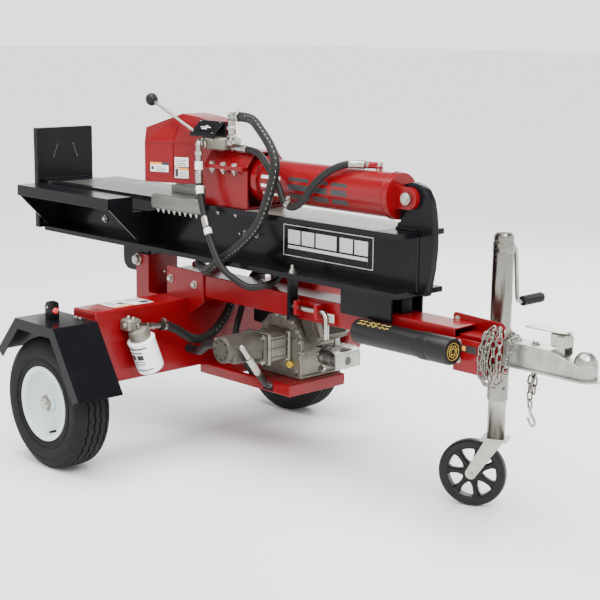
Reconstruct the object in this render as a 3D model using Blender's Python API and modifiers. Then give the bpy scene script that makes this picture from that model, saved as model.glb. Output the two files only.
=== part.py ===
"""Towable hydraulic log splitter with a tilting beam.

X runs forward along the tongue to the hitch, Y across the machine, Z up.
Every position below is measured from the wheel axle (X) and the middle of
the machine (Y); ORIGIN_SHIFT then moves the origin to the middle of the
bounding box, on the ground.
"""
import math

import bmesh
import bpy
from mathutils import Matrix, Vector

for old in list(bpy.data.objects):
    bpy.data.objects.remove(old, do_unlink=True)

# ---------------------------------------------------------------- dimensions
GAP = 0.0003                      # clearance between touching pieces
HITCH_END = 1.5805                # front of the coupler
FOOT_BACK = -0.669                # back of the foot plate
ORIGIN_SHIFT = Vector((-(HITCH_END + FOOT_BACK) / 2, 0.0, 0.0))

TYRE_R, TYRE_W = 0.201, 0.120     # 4.80-8 tyre
TRACK = 0.489                     # wheel centre from the middle
AXLE_Z = TYRE_R
SPINDLE_R = 0.0150

TANK_X0, TANK_X1 = -0.030, 0.085
TANK_Y, TANK_Z0, TANK_Z1 = 0.410, 0.247, 0.473

TONGUE_HALF, TONGUE_Z0, TONGUE_Z1 = 0.048, 0.4855, 0.555
TONGUE_X0, TONGUE_X1 = -0.0120, 1.1607

PIVOT_X, PIVOT_Z, PIVOT_R = -0.158, 0.566, 0.010

BEAM_X0, BEAM_X1 = -0.6445 + GAP, 0.998
BEAM_HALF, BEAM_Z0, BEAM_Z1 = 0.094, 0.610, 0.785
FLANGE_T, WEB_T, TAPER = 0.015, 0.010, 0.001

CYL_Z, CYL_R, BORE_R, ROD_R = 0.872, 0.0615, 0.0525, 0.0225
CYL_X0, CYL_X1 = 0.205, 0.925
PIN_X, PIN_R = 0.970, 0.0125

JACK_X, JACK_Y, JACK_PIVOT_Z = 1.130, 0.187, 0.515
CASTER_R, CASTER_TRAIL, CASTER_TURN = 0.097, 0.062, math.radians(204)

CRANK_X, CRANK_Z = 0.385, 0.362   # engine crankshaft

# ---------------------------------------------------------------- collections
parts = bpy.data.collections.new("log_splitter")
cutters = bpy.data.collections.new("cutters")
bpy.context.scene.collection.children.link(parts)
bpy.context.scene.collection.children.link(cutters)


def make_material(name, colour, roughness, metallic):
    mat = bpy.data.materials.new(name)
    mat.use_nodes = True
    bsdf = mat.node_tree.nodes["Principled BSDF"]
    bsdf.inputs["Base Color"].default_value = (*colour, 1.0)
    bsdf.inputs["Roughness"].default_value = roughness
    bsdf.inputs["Metallic"].default_value = metallic
    return mat


LOOKS = {
    "red": ((0.45, 0.012, 0.018), 0.35, 0.0),
    "black": ((0.012, 0.012, 0.013), 0.35, 0.0),
    "zinc": ((0.62, 0.60, 0.55), 0.30, 1.0),
    "steel": ((0.33, 0.32, 0.30), 0.40, 1.0),
    "rubber": ((0.015, 0.015, 0.015), 0.75, 0.0),
    "cast": ((0.42, 0.40, 0.35), 0.50, 0.6),
    "iron": ((0.10, 0.10, 0.10), 0.50, 0.5),
    "white": ((0.80, 0.80, 0.78), 0.35, 0.0),
    "chrome": ((0.80, 0.80, 0.80), 0.12, 1.0),
    "plastic": ((0.02, 0.02, 0.02), 0.45, 0.0),
}


# ---------------------------------------------------------------- helpers
def add(name, mesh, origin=(0, 0, 0), turn=None, look=None, smooth=True):
    """Link a mesh as an object whose origin is at the given place."""
    obj = bpy.data.objects.new(name, mesh)
    parts.objects.link(obj)
    obj.location = Vector(origin) + ORIGIN_SHIFT
    if turn is not None:
        obj.rotation_euler = turn
    if look:
        colour, rough, metal = LOOKS[look]
        mesh.materials.append(make_material(name, colour, rough, metal))
    if smooth:
        mesh.shade_smooth()
        mesh.set_sharp_from_angle(angle=math.radians(35))
    return obj


def tool(obj):
    """Turn an object into a Boolean operand."""
    parts.objects.unlink(obj)
    cutters.objects.link(obj)
    obj.hide_render = True
    obj.display_type = "WIRE"
    return obj


def boolean(obj, other, operation):
    mod = obj.modifiers.new(operation.title(), "BOOLEAN")
    mod.operation = operation
    mod.solver = "EXACT"
    mod.object = tool(other)


def cut(obj, *others):
    for other in others:
        boolean(obj, other, "DIFFERENCE")
    return obj


def join(obj, *others):
    for other in others:
        boolean(obj, other, "UNION")
    return obj


def bevel(obj, width, segments=1):
    mod = obj.modifiers.new("Bevel", "BEVEL")
    mod.width = width
    mod.segments = segments
    mod.limit_method = "ANGLE"
    mod.angle_limit = math.radians(40)
    return obj


def box(name, low, high, look=None, origin=None):
    """Box between two corners; its origin is its middle unless one is given."""
    low, high = Vector(low), Vector(high)
    middle = (low + high) / 2
    origin = Vector(origin) if origin is not None else middle
    bm = bmesh.new()
    bmesh.ops.create_cube(bm, size=1.0)
    size = high - low
    for v in bm.verts:
        v.co = Vector((v.co.x * size.x, v.co.y * size.y, v.co.z * size.z)) + middle - origin
    mesh = bpy.data.meshes.new(name)
    bm.to_mesh(mesh)
    bm.free()
    return add(name, mesh, origin, look=look, smooth=False)


AXES = {
    "X": Matrix.Rotation(math.radians(90), 4, "Y"),
    "Y": Matrix.Rotation(math.radians(-90), 4, "X"),
    "Z": Matrix.Identity(4),
}


def rod(name, start, end, radius, look=None, sides=16, origin=None, radius2=None):
    """Straight round bar between two points."""
    start, end = Vector(start), Vector(end)
    origin = Vector(origin) if origin is not None else (start + end) / 2
    along = end - start
    bm = bmesh.new()
    bmesh.ops.create_cone(
        bm, cap_ends=True, segments=sides, radius1=radius,
        radius2=radius if radius2 is None else radius2, depth=along.length)
    aim = Vector((0, 0, 1)).rotation_difference(along.normalized()).to_matrix().to_4x4()
    place = Matrix.Translation((start + end) / 2 - origin) @ aim
    bmesh.ops.transform(bm, matrix=place, verts=bm.verts)
    mesh = bpy.data.meshes.new(name)
    bm.to_mesh(mesh)
    bm.free()
    return add(name, mesh, origin, look=look)


def turned(name, profile, steps, origin, axis, look=None, closed=True, phase=0.0):
    """Turn a profile of (radius, height) points about an axis through origin."""
    mesh = bpy.data.meshes.new(name)
    points = [(r * math.cos(phase), r * math.sin(phase), z) for r, z in profile]
    count = len(points)
    edges = [(i, (i + 1) % count) for i in range(count if closed else count - 1)]
    mesh.from_pydata(points, edges, [])
    obj = add(name, mesh, origin, look=look, smooth=False)
    obj.rotation_euler = (AXES[axis] if isinstance(axis, str) else axis).to_euler()
    mod = obj.modifiers.new("Screw", "SCREW")
    mod.axis = "Z"
    mod.steps = steps
    mod.render_steps = steps
    mod.use_merge_vertices = True
    mod.merge_threshold = 0.00001
    mod.use_smooth_shade = True
    return obj


def to_mesh(curve_obj, name, look=None):
    """Replace a curve object with the mesh it evaluates to."""
    bpy.context.view_layer.update()
    graph = bpy.context.evaluated_depsgraph_get()
    mesh = bpy.data.meshes.new_from_object(curve_obj.evaluated_get(graph))
    bm = bmesh.new()
    bm.from_mesh(mesh)
    bmesh.ops.remove_doubles(bm, verts=bm.verts, dist=0.00001)
    bm.to_mesh(mesh)
    bm.free()
    mesh.materials.clear()
    obj = bpy.data.objects.new(name, mesh)
    parts.objects.link(obj)
    obj.matrix_world = curve_obj.matrix_world
    bpy.data.objects.remove(curve_obj, do_unlink=True)
    if look:
        colour, rough, metal = LOOKS[look]
        mesh.materials.append(make_material(name, colour, rough, metal))
    return obj


PLANES = {
    # outline (u, v) -> world, and the direction of the thickness
    "XZ": Matrix(((1, 0, 0, 0), (0, 0, -1, 0), (0, 1, 0, 0), (0, 0, 0, 1))),
    "YZ": Matrix(((0, 0, 1, 0), (1, 0, 0, 0), (0, 1, 0, 0), (0, 0, 0, 1))),
    "XY": Matrix.Identity(4),
}


def plate(name, outline, low, high, plane="XZ", look=None, origin=(0, 0, 0), turn=None):
    """Flat outline in a plane, filled and extruded between two levels."""
    origin = Vector(origin)
    shift = {"XZ": (origin.x, origin.z), "YZ": (origin.y, origin.z), "XY": (origin.x, origin.y)}[plane]
    level = {"XZ": origin.y, "YZ": origin.x, "XY": origin.z}[plane]
    curve = bpy.data.curves.new(name + "_outline", "CURVE")
    curve.dimensions = "2D"
    curve.fill_mode = "BOTH"
    curve.extrude = abs(high - low) / 2
    spline = curve.splines.new("POLY")
    spline.points.add(len(outline) - 1)
    for point, (u, v) in zip(spline.points, outline):
        point.co = (u - shift[0], v - shift[1], 0, 1)
    spline.use_cyclic_u = True
    obj = bpy.data.objects.new(name + "_outline", curve)
    parts.objects.link(obj)
    frame = PLANES[plane].copy()
    depth = (low + high) / 2 - level
    obj.matrix_world = frame @ Matrix.Translation((0, 0, -depth if plane == "XZ" else depth))
    mesh_obj = to_mesh(obj, name, look)
    mesh_obj.data.transform(mesh_obj.matrix_world)
    mesh_obj.matrix_world = Matrix.Identity(4)
    mesh_obj.location = origin + ORIGIN_SHIFT
    if turn is not None:
        mesh_obj.rotation_euler = turn
    return mesh_obj


def arc(cx, cy, radius, start, end, count):
    """Points of an arc, angles in degrees."""
    step = (end - start) / (count - 1)
    return [(cx + radius * math.cos(math.radians(start + i * step)),
             cy + radius * math.sin(math.radians(start + i * step))) for i in range(count)]


def offset(points, distance):
    """Offset an open polyline to its right-hand side, with mitred corners."""
    result = []
    for i, point in enumerate(points):
        p = Vector(point)
        ahead = (Vector(points[min(i + 1, len(points) - 1)]) - p)
        behind = (p - Vector(points[max(i - 1, 0)]))
        ahead = ahead.normalized() if ahead.length else behind.normalized()
        behind = behind.normalized() if behind.length else ahead
        n1 = Vector((behind.y, -behind.x))
        n2 = Vector((ahead.y, -ahead.x))
        n = (n1 + n2).normalized()
        result.append(tuple(p + n * distance / max(n.dot(n1), 0.3)))
    return result


def smooth_route(points, spacing):
    """Evenly spaced points on a smooth curve through the given points."""
    pts = [Vector(p) for p in points]
    ends = [pts[0] * 2 - pts[1]] + pts + [pts[-1] * 2 - pts[-2]]
    dense = []
    for i in range(1, len(ends) - 2):
        p0, p1, p2, p3 = ends[i - 1:i + 3]
        for k in range(20):
            t = k / 20
            dense.append(0.5 * ((2 * p1) + (p2 - p0) * t + (2 * p0 - 5 * p1 + 4 * p2 - p3) * t ** 2
                                + (3 * p1 - p0 - 3 * p2 + p3) * t ** 3))
    dense.append(pts[-1])
    lengths = [0.0]
    for a, b in zip(dense, dense[1:]):
        lengths.append(lengths[-1] + (b - a).length)
    count = max(2, round(lengths[-1] / spacing))
    result, j = [], 0
    for i in range(count + 1):
        want = lengths[-1] * i / count
        while j < len(dense) - 2 and lengths[j + 1] < want:
            j += 1
        span = lengths[j + 1] - lengths[j]
        result.append(dense[j].lerp(dense[j + 1], (want - lengths[j]) / span if span else 0))
    return result


def hose(name, route, radius, look="rubber", spacing=None, origin=(0, 0, 0), leads=True):
    """Round tube with filled caps along a smooth route, with straight end runs if leads is set."""
    curve = bpy.data.curves.new(name, "CURVE")
    curve.dimensions = "3D"
    curve.bevel_depth = radius
    curve.bevel_resolution = 2
    curve.use_fill_caps = True
    spline = curve.splines.new("POLY")
    spacing = spacing or radius * 2.6
    if leads:
        points = [Vector(route[0])] + smooth_route(route[1:-1], spacing) + [Vector(route[-1])]
    else:
        points = smooth_route(route, spacing)
    spline.points.add(len(points) - 1)
    for target, point in zip(spline.points, points):
        target.co = (*(point - Vector(origin)), 1)
    obj = bpy.data.objects.new(name, curve)
    parts.objects.link(obj)
    obj.location = Vector(origin) + ORIGIN_SHIFT
    colour, rough, metal = LOOKS[look]
    curve.materials.append(make_material(name, colour, rough, metal))
    return obj


def bent_bar(name, route, radius, look=None, origin=(0, 0, 0)):
    """Bent round bar as a mesh, so that it can be joined."""
    curve = hose(name + "_path", route, radius, look or "zinc", radius * 2.6, origin, leads=False)
    return to_mesh(curve, name, look)


# ---------------------------------------------------------------- tank and axle
tank = box("oil_tank", (TANK_X0, -TANK_Y, TANK_Z0), (TANK_X1, TANK_Y, TANK_Z1), "red")
bevel(tank, 0.006, 2)
wall = 0.0045
cut(tank,
    box("tank_hollow", (TANK_X0 + wall, -TANK_Y + wall, TANK_Z0 + wall),
        (TANK_X1 - wall, TANK_Y - wall, TANK_Z1 - wall)),
    rod("tank_filler_hole", (0.0275, 0.30, 0.45), (0.0275, 0.30, 0.49), 0.018))
join(tank, box("label_plate", (-0.020, -0.33, TANK_Z1 - 0.001), (0.074, -0.17, TANK_Z1 + 0.0008)))

turned("filler_cap", [(0.0, 0.034), (0.020, 0.034), (0.024, 0.028), (0.024, 0.010),
                      (0.028, GAP), (0.0165, GAP), (0.0165, -0.012), (0.0, -0.012)],
       16, (0.0275, 0.30, TANK_Z1), "Z", "plastic", closed=False)

FENDER = [(-0.190, 0.340), (-0.088, 0.455), (0.110, 0.453), (0.233, 0.254)]
for side, sign in (("near", -1), ("far", 1)):
    # end plate with its spindle
    inner, outer = sign * (TANK_Y + GAP), sign * (TANK_Y + 0.0100)
    axle = plate("axle_" + side,
                 [(-0.050, 0.170), (0.050, 0.170), (0.078, 0.26), (0.078, 0.4517), (-0.050, 0.4517)],
                 inner, outer, "XZ", "red")
    join(axle,
         rod("spindle_" + side, (0, sign * (TANK_Y + 0.006), AXLE_Z),
             (0, sign * (TRACK + 0.0455), AXLE_Z), SPINDLE_R),
         rod("spindle_boss_" + side, (0, sign * (TANK_Y + 0.006), AXLE_Z),
             (0, sign * (TRACK - 0.0320), AXLE_Z), 0.024))
    # bent sheet fender with a lip on its outer side
    y_in, y_out = sign * (TANK_Y + 0.0103), sign * 0.577
    inner_line = offset(FENDER, 0.003)
    fender = plate("fender_" + side, FENDER + inner_line[::-1], y_in, y_out, "XZ", "black")
    lip_line = offset(FENDER, 0.0008)
    lip_line[0] = tuple(Vector(lip_line[0]).lerp(Vector(lip_line[1]), 0.03))
    lip_line[-1] = tuple(Vector(lip_line[-1]).lerp(Vector(lip_line[-2]), 0.03))
    join(fender, plate("fender_lip_" + side, lip_line + offset(lip_line, 0.031)[::-1],
                       sign * 0.574, sign * 0.5774, "XZ"))
    # marker lamp housing, standing on the fender
    lamp = box("lamp_body_" + side, (-0.026, sign * 0.498 - 0.016, 0.450),
               (0.010, sign * 0.498 + 0.016, 0.506))
    bevel(lamp, 0.008, 2)
    join(fender, lamp)
    # wheel: pressed rim, dish, hub and dust cap in one turned piece
    aim = Matrix.Rotation(math.radians(90 * -sign), 4, "X")
    turned("wheel_" + side,
           [(0.0, 0.060), (0.0225, 0.054), (0.0225, 0.030), (0.060, 0.016), (0.097, 0.030),
            (0.097, 0.056), (0.1125, 0.056), (0.1125, 0.0533), (0.100, 0.0533), (0.100, -0.0533),
            (0.1125, -0.0533), (0.1125, -0.056), (0.097, -0.056), (0.097, 0.024), (0.060, 0.010),
            (0.030, 0.018), (0.030, -0.030), (0.0155, -0.030), (0.0155, 0.047), (0.0, 0.047)],
           20, (0, sign * TRACK, AXLE_Z), aim, "white", closed=False)
    steps = 32
    tread = TYRE_R / math.cos(math.pi / steps)
    turned("tyre_" + side,
           [(tread, 0.042), (tread, -0.042), (0.185, -0.060), (0.1130, -0.0530),
            (0.1006, -0.0530), (0.1006, -0.0440), (0.187, -0.046), (0.187, 0.046),
            (0.1006, 0.0440), (0.1006, 0.0530), (0.1130, 0.0530), (0.185, 0.060)],
           steps, (0, sign * TRACK, AXLE_Z), aim, "rubber", phase=math.pi / 2 + math.pi / steps)

# ---------------------------------------------------------------- pivot post
side_shape = [(-0.172, 0.250), (TANK_X0 - GAP, 0.250), (TANK_X0 - GAP, 0.465),
              (-0.104, 0.465), (-0.104, 0.587), (-0.172, 0.587)]
post = plate("pivot_post", side_shape, -0.060, -0.054, "XZ", "red")
join(post,
     plate("post_far_side", side_shape, 0.054, 0.060, "XZ"),
     box("post_web", (-0.110, -0.055, 0.250), (-0.104, 0.055, 0.587)),
     box("post_front", (-0.0363, -0.055, 0.250), (TANK_X0 - GAP, 0.055, 0.465)))
cut(post, rod("post_bore", (PIVOT_X, -0.1, PIVOT_Z), (PIVOT_X, 0.1, PIVOT_Z), PIVOT_R + GAP))

pin = rod("tilt_pin", (PIVOT_X, -0.0700, PIVOT_Z), (PIVOT_X, 0.0700, PIVOT_Z), PIVOT_R, "zinc")
for sign in (-1, 1):
    join(pin,
         rod("pin_washer", (PIVOT_X, sign * 0.0603, PIVOT_Z), (PIVOT_X, sign * 0.0640, PIVOT_Z), 0.0190),
         rod("pin_head", (PIVOT_X, sign * 0.0635, PIVOT_Z), (PIVOT_X, sign * 0.0760, PIVOT_Z), 0.0160,
             sides=6))

# ---------------------------------------------------------------- tongue and its saddle
tongue = box("tongue", (TONGUE_X0, -TONGUE_HALF, TONGUE_Z0), (TONGUE_X1, TONGUE_HALF, TONGUE_Z1), "red")
bevel(tongue, 0.004, 2)
cut(tongue, box("tongue_hollow", (TONGUE_X0 - 0.1, -0.0435, 0.4900), (TONGUE_X1 + 0.1, 0.0435, 0.5505)))

gusset = [(-0.018, TANK_Z1 + GAP), (-0.018, 0.560), (-0.011, 0.567), (0.160, 0.562), (0.160, 0.468),
          (0.104, 0.429), (TANK_X1 + GAP, 0.425), (TANK_X1 + GAP, TANK_Z1 + GAP)]
saddle = plate("tongue_saddle", gusset, -0.0545, -0.0485, "XZ", "red")
join(saddle,
     plate("saddle_far", gusset, 0.0485, 0.0545, "XZ"),
     box("saddle_floor", (-0.018, -0.052, TANK_Z1 + GAP), (0.160, 0.052, TONGUE_Z0 - GAP)))
for x, z in ((0.002, 0.525), (0.120, 0.521)):
    for sign in (-1, 1):
        join(saddle, rod("saddle_bolt", (x, sign * 0.053, z), (x, sign * 0.064, z), 0.0085, sides=6))

# ---------------------------------------------------------------- engine tray
tray = box("engine_tray", (TANK_X1 + GAP, -0.006, 0.224), (0.504, 0.233, 0.262), "red")
bevel(tray, 0.006, 2)
cut(tray, box("tray_hollow", (TANK_X1 + 0.006, 0.000, 0.200), (0.498, 0.227, 0.257)),
    box("hose_slot", (0.272, 0.002, 0.24), (0.328, 0.048, 0.28)),
    box("hose_hole", (0.380, -0.02, 0.2290), (0.430, 0.01, 0.2568)))

# ---------------------------------------------------------------- engine
block = plate("engine_block",
              [(0.300, 0.2623), (0.475, 0.2623), (0.478, 0.292)]
              + arc(CRANK_X, CRANK_Z, 0.095, -20, 200, 15) + [(0.296, 0.292)],
              0.065, 0.245, "XZ", "cast")
bevel(block, 0.004)
tilt = math.radians(25)
along = Vector((math.cos(tilt), 0, math.sin(tilt)))
across = Vector((-math.sin(tilt), 0, math.cos(tilt)))


def crank_point(a, b):
    p = Vector((CRANK_X, 0, CRANK_Z)) + along * a + across * b
    return (p.x, p.z)


head = plate("engine_head", [crank_point(0.0955, -0.030), crank_point(0.160, -0.030),
                             crank_point(0.160, 0.050), crank_point(0.0955, 0.050)],
             0.092, 0.210, "XZ", "cast")
for k in range(3):
    a = 0.104 + 0.014 * k
    fin = [crank_point(a, -0.036), crank_point(a + 0.005, -0.036),
           crank_point(a + 0.005, 0.056), crank_point(a, 0.056)]
    join(head, plate("fin", fin, 0.086, 0.216, "XZ"))

shroud = plate("fan_shroud", [(0.320, 0.2700), (0.450, 0.2700)]
               + arc(CRANK_X, 0.385, 0.115, -60, 240, 17), 0.245 + GAP, 0.325, "XZ", "red")
bevel(shroud, 0.008)
join(shroud, rod("recoil_cover", (CRANK_X, 0.320, 0.385), (CRANK_X, 0.352, 0.385), 0.078, radius2=0.066))

fuel = box("fuel_tank", (0.285, 0.100, 0.500 + GAP), (0.500, 0.310, 0.596), "red")
bevel(fuel, 0.022, 2)
join(fuel, rod("fuel_cap", (0.345, 0.250, 0.580), (0.345, 0.250, 0.610), 0.026))

cleaner = box("air_cleaner", (0.200, 0.118, 0.392), (0.284, 0.246, 0.496), "plastic")
bevel(cleaner, 0.010, 2)
join(cleaner, box("carburettor", (0.280, 0.145, 0.408), (0.302, 0.195, 0.432)))

muffler = box("muffler", (0.502, 0.096, 0.302), (0.594, 0.205, 0.368), "steel")
bevel(muffler, 0.018, 2)
join(muffler, rod("exhaust_stub", (0.545, 0.150, 0.355), (0.545, 0.150, 0.3960), 0.0090))

# ---------------------------------------------------------------- pump
adapter = box("pump_adapter", (0.335, -0.030, 0.312), (0.437, 0.065 - GAP, 0.412), "cast")
bevel(adapter, 0.010, 2)
pump = rod("hydraulic_pump", (0.390, -0.165, 0.378), (0.390, -0.036, 0.378), 0.041, "iron", sides=24)
join(pump,
     box("pump_body", (0.351, -0.1600, 0.336), (0.429, -0.036, 0.378)),
     box("pump_flange", (0.338, -0.045, 0.316), (0.434, -0.030 - GAP, 0.410)),
     rod("pump_end", (0.390, -0.180, 0.378), (0.390, -0.160, 0.378), 0.036, sides=24),
     rod("inlet_boss", (0.325, -0.120, 0.372), (0.360, -0.120, 0.372), 0.017, sides=12),
     rod("outlet_boss", (0.420, -0.142, 0.384), (0.4475, -0.142, 0.384), 0.011, sides=12),
     rod("outlet_elbow", (0.446, -0.147, 0.3907), (0.446, -0.120, 0.3547), 0.0095, sides=12))

# ---------------------------------------------------------------- filter
CAN_TOP = Vector((0.135, -0.2800, 0.3875))
CAN_END = Vector((0.135, -0.2385, 0.282))
can_axis = (CAN_END - CAN_TOP).normalized()
can_aim = Vector((0, 0, 1)).rotation_difference(-can_axis).to_matrix().to_4x4()
can_len = (CAN_END - CAN_TOP).length
turned("oil_filter", [(0.0, 0.0), (0.036, 0.0), (0.0435, -0.005), (0.0435, -can_len + 0.012),
                      (0.036, -can_len), (0.0, -can_len)],
       20, CAN_TOP, can_aim, "white", closed=False)
filter_head = rod("filter_head", CAN_TOP - can_axis * GAP, CAN_TOP - can_axis * 0.032, 0.033, "cast")
join(filter_head,
     box("filter_mount", (TANK_X1 + GAP, -0.322, 0.408), (0.135, -0.272, 0.446)),
     rod("filter_nipple", (0.135, -0.295, 0.4240), (0.135, -0.2055, 0.4140), 0.0105, sides=12))

# ---------------------------------------------------------------- beam
flange = BEAM_HALF
low_root, high_root = BEAM_Z0 + FLANGE_T + TAPER, BEAM_Z1 - FLANGE_T - TAPER
profile = [(-flange, BEAM_Z0), (flange, BEAM_Z0), (flange, BEAM_Z0 + FLANGE_T),
           (WEB_T / 2, low_root), (WEB_T / 2, high_root),
           (flange, BEAM_Z1 - FLANGE_T), (flange, BEAM_Z1), (-flange, BEAM_Z1),
           (-flange, BEAM_Z1 - FLANGE_T), (-WEB_T / 2, high_root),
           (-WEB_T / 2, low_root), (-flange, BEAM_Z0 + FLANGE_T)]
PIVOT = (PIVOT_X, 0, PIVOT_Z)
beam = plate("beam", profile, BEAM_X0, BEAM_X1, "YZ", "black", origin=PIVOT)
lug = ([(-0.250, BEAM_Z0 + 0.001), (-0.250, 0.560)] + arc(-0.215, 0.560, 0.035, 190, 260, 5)
       + arc(PIVOT_X, PIVOT_Z, 0.041, 270, 350, 8) + [(-0.117, BEAM_Z0 + 0.001)])
for sign in (-1, 1):
    join(beam, plate("pivot_lug", lug, sign * 0.040, sign * 0.050, "XZ"))
join(beam, box("latch_lug", (0.574, -0.088, 0.488), (0.584, -0.055, 0.618)))
cut(beam,
    rod("lug_bore", (PIVOT_X, -0.06, PIVOT_Z), (PIVOT_X, 0.06, PIVOT_Z), PIVOT_R + 0.0004),
    rod("latch_bore", (0.56, -0.068, 0.525), (0.60, -0.068, 0.525), 0.0100))

foot = box("foot_plate", (FOOT_BACK, -0.115, 0.6205), (-0.644, 0.115, 0.963), "black", origin=PIVOT)
bevel(foot, 0.002)
cut(foot, box("beam_seat", (-0.6445, -0.12, 0.60), (-0.63, 0.12, BEAM_Z1 + 0.0008)))

# the wings stand clear of the slide's sides, which pass along the flanges
WING_IN = 0.1130
for side, sign in (("near", -1), ("far", 1)):
    x0, x1 = -0.628, -0.116
    wing = box("cradle_" + side, (x0, min(sign * WING_IN, sign * 0.2105), 0.772),
               (x1, max(sign * WING_IN, sign * 0.2105), 0.778), "black", origin=PIVOT)
    brace = [(sign * 0.0053, 0.6265), (sign * 0.085, 0.6255), (sign * 0.210, 0.748), (sign * 0.210, 0.776),
             (sign * WING_IN, 0.776), (sign * WING_IN, 0.727), (sign * 0.0053, 0.727)]
    join(wing,
         box("cradle_lip", (x0, min(sign * 0.2045, sign * 0.2105), 0.742),
             (x1, max(sign * 0.2045, sign * 0.2105), 0.777)),
         plate("cradle_rear_brace", brace, x0, x0 + 0.006, "YZ"),
         plate("cradle_front_brace", brace, x1 - 0.006, x1, "YZ"),
         box("cradle_back", (x0 + 0.001, min(sign * 0.0053, sign * 0.0113), 0.640),
             (x1 - 0.001, max(sign * 0.0053, sign * 0.0113), 0.715)))

# ---------------------------------------------------------------- cylinder
CYL = (0, 0, CYL_Z)
barrel = turned("cylinder_barrel",
                [(0.0, CYL_X1), (0.0640, CYL_X1), (0.0640, 0.905), (CYL_R, 0.903), (CYL_R, 0.418),
                 (0.0700, 0.416), (0.0700, 0.394), (CYL_R, 0.392), (CYL_R, CYL_X0),
                 (ROD_R + 0.0008, CYL_X0), (ROD_R + 0.0008, 0.245), (BORE_R, 0.245), (BORE_R, 0.907),
                 (0.0, 0.907)],
                32, CYL, "X", "red", closed=False)
ear = ([(0.915, CYL_Z - 0.038), (0.935, CYL_Z - 0.030)] + arc(PIN_X, CYL_Z, 0.031, -75, 75, 8)
       + [(0.935, CYL_Z + 0.030), (0.915, CYL_Z + 0.038)])
for sign in (-1, 1):
    join(barrel, plate("barrel_ear", ear, sign * 0.0140, sign * 0.0290, "XZ"))
join(barrel,
     rod("rear_port", (0.840, 0, 0.925), (0.840, 0, 0.955), 0.0105, sides=12),
     rod("rear_elbow", (0.842, 0.0005, 0.9475), (0.800, -0.0121, 0.9475), 0.0095, sides=12))
cut(barrel, rod("ear_pin_bore", (PIN_X, -0.05, CYL_Z), (PIN_X, 0.05, CYL_Z), PIN_R + GAP))

# one thick end plate stands on the beam's end and takes the cylinder's pin
anchor_side = [(0.9180, BEAM_Z1 + GAP), (0.9220, 0.8020), (0.9320, 0.8060), (0.9320, 0.8920),
               (0.9450, 0.9080), (0.9700, 0.9145), (0.9970, 0.9110), (1.0180, 0.8980),
               (1.0350, 0.8720), (1.0440, 0.8350), (1.0490, 0.7900), (1.0495, 0.7400),
               (1.0440, 0.6850), (1.0290, 0.6120), (BEAM_X1 + GAP, 0.6120), (BEAM_X1 + GAP, BEAM_Z1 + GAP)]
anchor = plate("cylinder_anchor", anchor_side, -0.0125, 0.0125, "XZ", "black")
cut(anchor, rod("anchor_bore", (PIN_X, -0.06, CYL_Z), (PIN_X, 0.06, CYL_Z), PIN_R + GAP))
cyl_pin = rod("cylinder_pin", (PIN_X, -0.044, CYL_Z), (PIN_X, 0.044, CYL_Z), PIN_R, "zinc")
join(cyl_pin, rod("pin_collar", (PIN_X, -0.0400, CYL_Z), (PIN_X, -0.0294, CYL_Z), 0.0170))

# rod with its piston, in front of the wedge
piston = rod("piston_rod", (0.150 + GAP, 0, CYL_Z), (0.870, 0, CYL_Z), ROD_R, "chrome",
             origin=(0.150, 0, CYL_Z), sides=24)
join(piston, rod("piston", (0.865, 0, CYL_Z), (0.897, 0, CYL_Z), BORE_R - 0.0006, sides=32))

# ---------------------------------------------------------------- wedge and slide
wedge = plate("wedge", [(-0.036, 0.0006), (-0.036, -0.0006), (0.020, -0.014), (0.060, -0.034),
                        (0.150, -0.034), (0.150, 0.034), (0.060, 0.034), (0.020, 0.014)],
              0.8003, 1.005, "XY", "steel", origin=(0.150, 0, CYL_Z))
join(wedge, box("wedge_foot", (-0.010, -0.040, 0.8003), (0.150, 0.040, 0.8230)))

GIB = [(-0.1120, 0.7535), (-0.1120, 0.8000), (0.1120, 0.8000), (0.1120, 0.7535), (0.0300, 0.7535),
       (0.0300, high_root - GAP), (0.0947, high_root - GAP),
       (0.0947, BEAM_Z1 + GAP), (-0.0947, BEAM_Z1 + GAP), (-0.0947, high_root - GAP),
       (-0.0300, high_root - GAP), (-0.0300, 0.7535)]
slide = plate("slide_block", GIB, -0.024, 0.155, "YZ", "steel", origin=(0.150, 0, CYL_Z))
for sign in (-1, 1):
    near, far = sorted((sign * 0.0960, sign * 0.1112))
    join(slide, box("slide_arm", (0.150, near, 0.7545), (0.2200, far, 0.7990)))

# ---------------------------------------------------------------- stripper housing over the cylinder
SX0, SX1 = 0.197, 0.387
plate("stripper_base",
      [(-0.076, BEAM_Z1 + GAP), (0.076, BEAM_Z1 + GAP), (0.076, 0.8990), (0.098, 0.8990),
       (0.098, 0.9050), (0.070, 0.9050), (0.070, 0.7913), (-0.070, 0.7913), (-0.070, 0.9050),
       (-0.098, 0.9050), (-0.098, 0.8990), (-0.076, 0.8990)],
      SX0, SX1, "YZ", "red")
cap = plate("stripper_cap",
            [(-0.098, 0.9053), (-0.0745, 0.9053), (-0.0435, 0.9485), (0.0435, 0.9485),
             (0.0745, 0.9053), (0.098, 0.9053), (0.098, 0.9113), (0.078, 0.9113), (0.046, 0.9535),
             (-0.046, 0.9535), (-0.078, 0.9113), (-0.098, 0.9113)],
            SX0, SX1, "YZ", "red")
cut(cap, box("valve_notch", (0.214, -0.038, 0.92), (0.264, 0.000, 0.96)))

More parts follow.
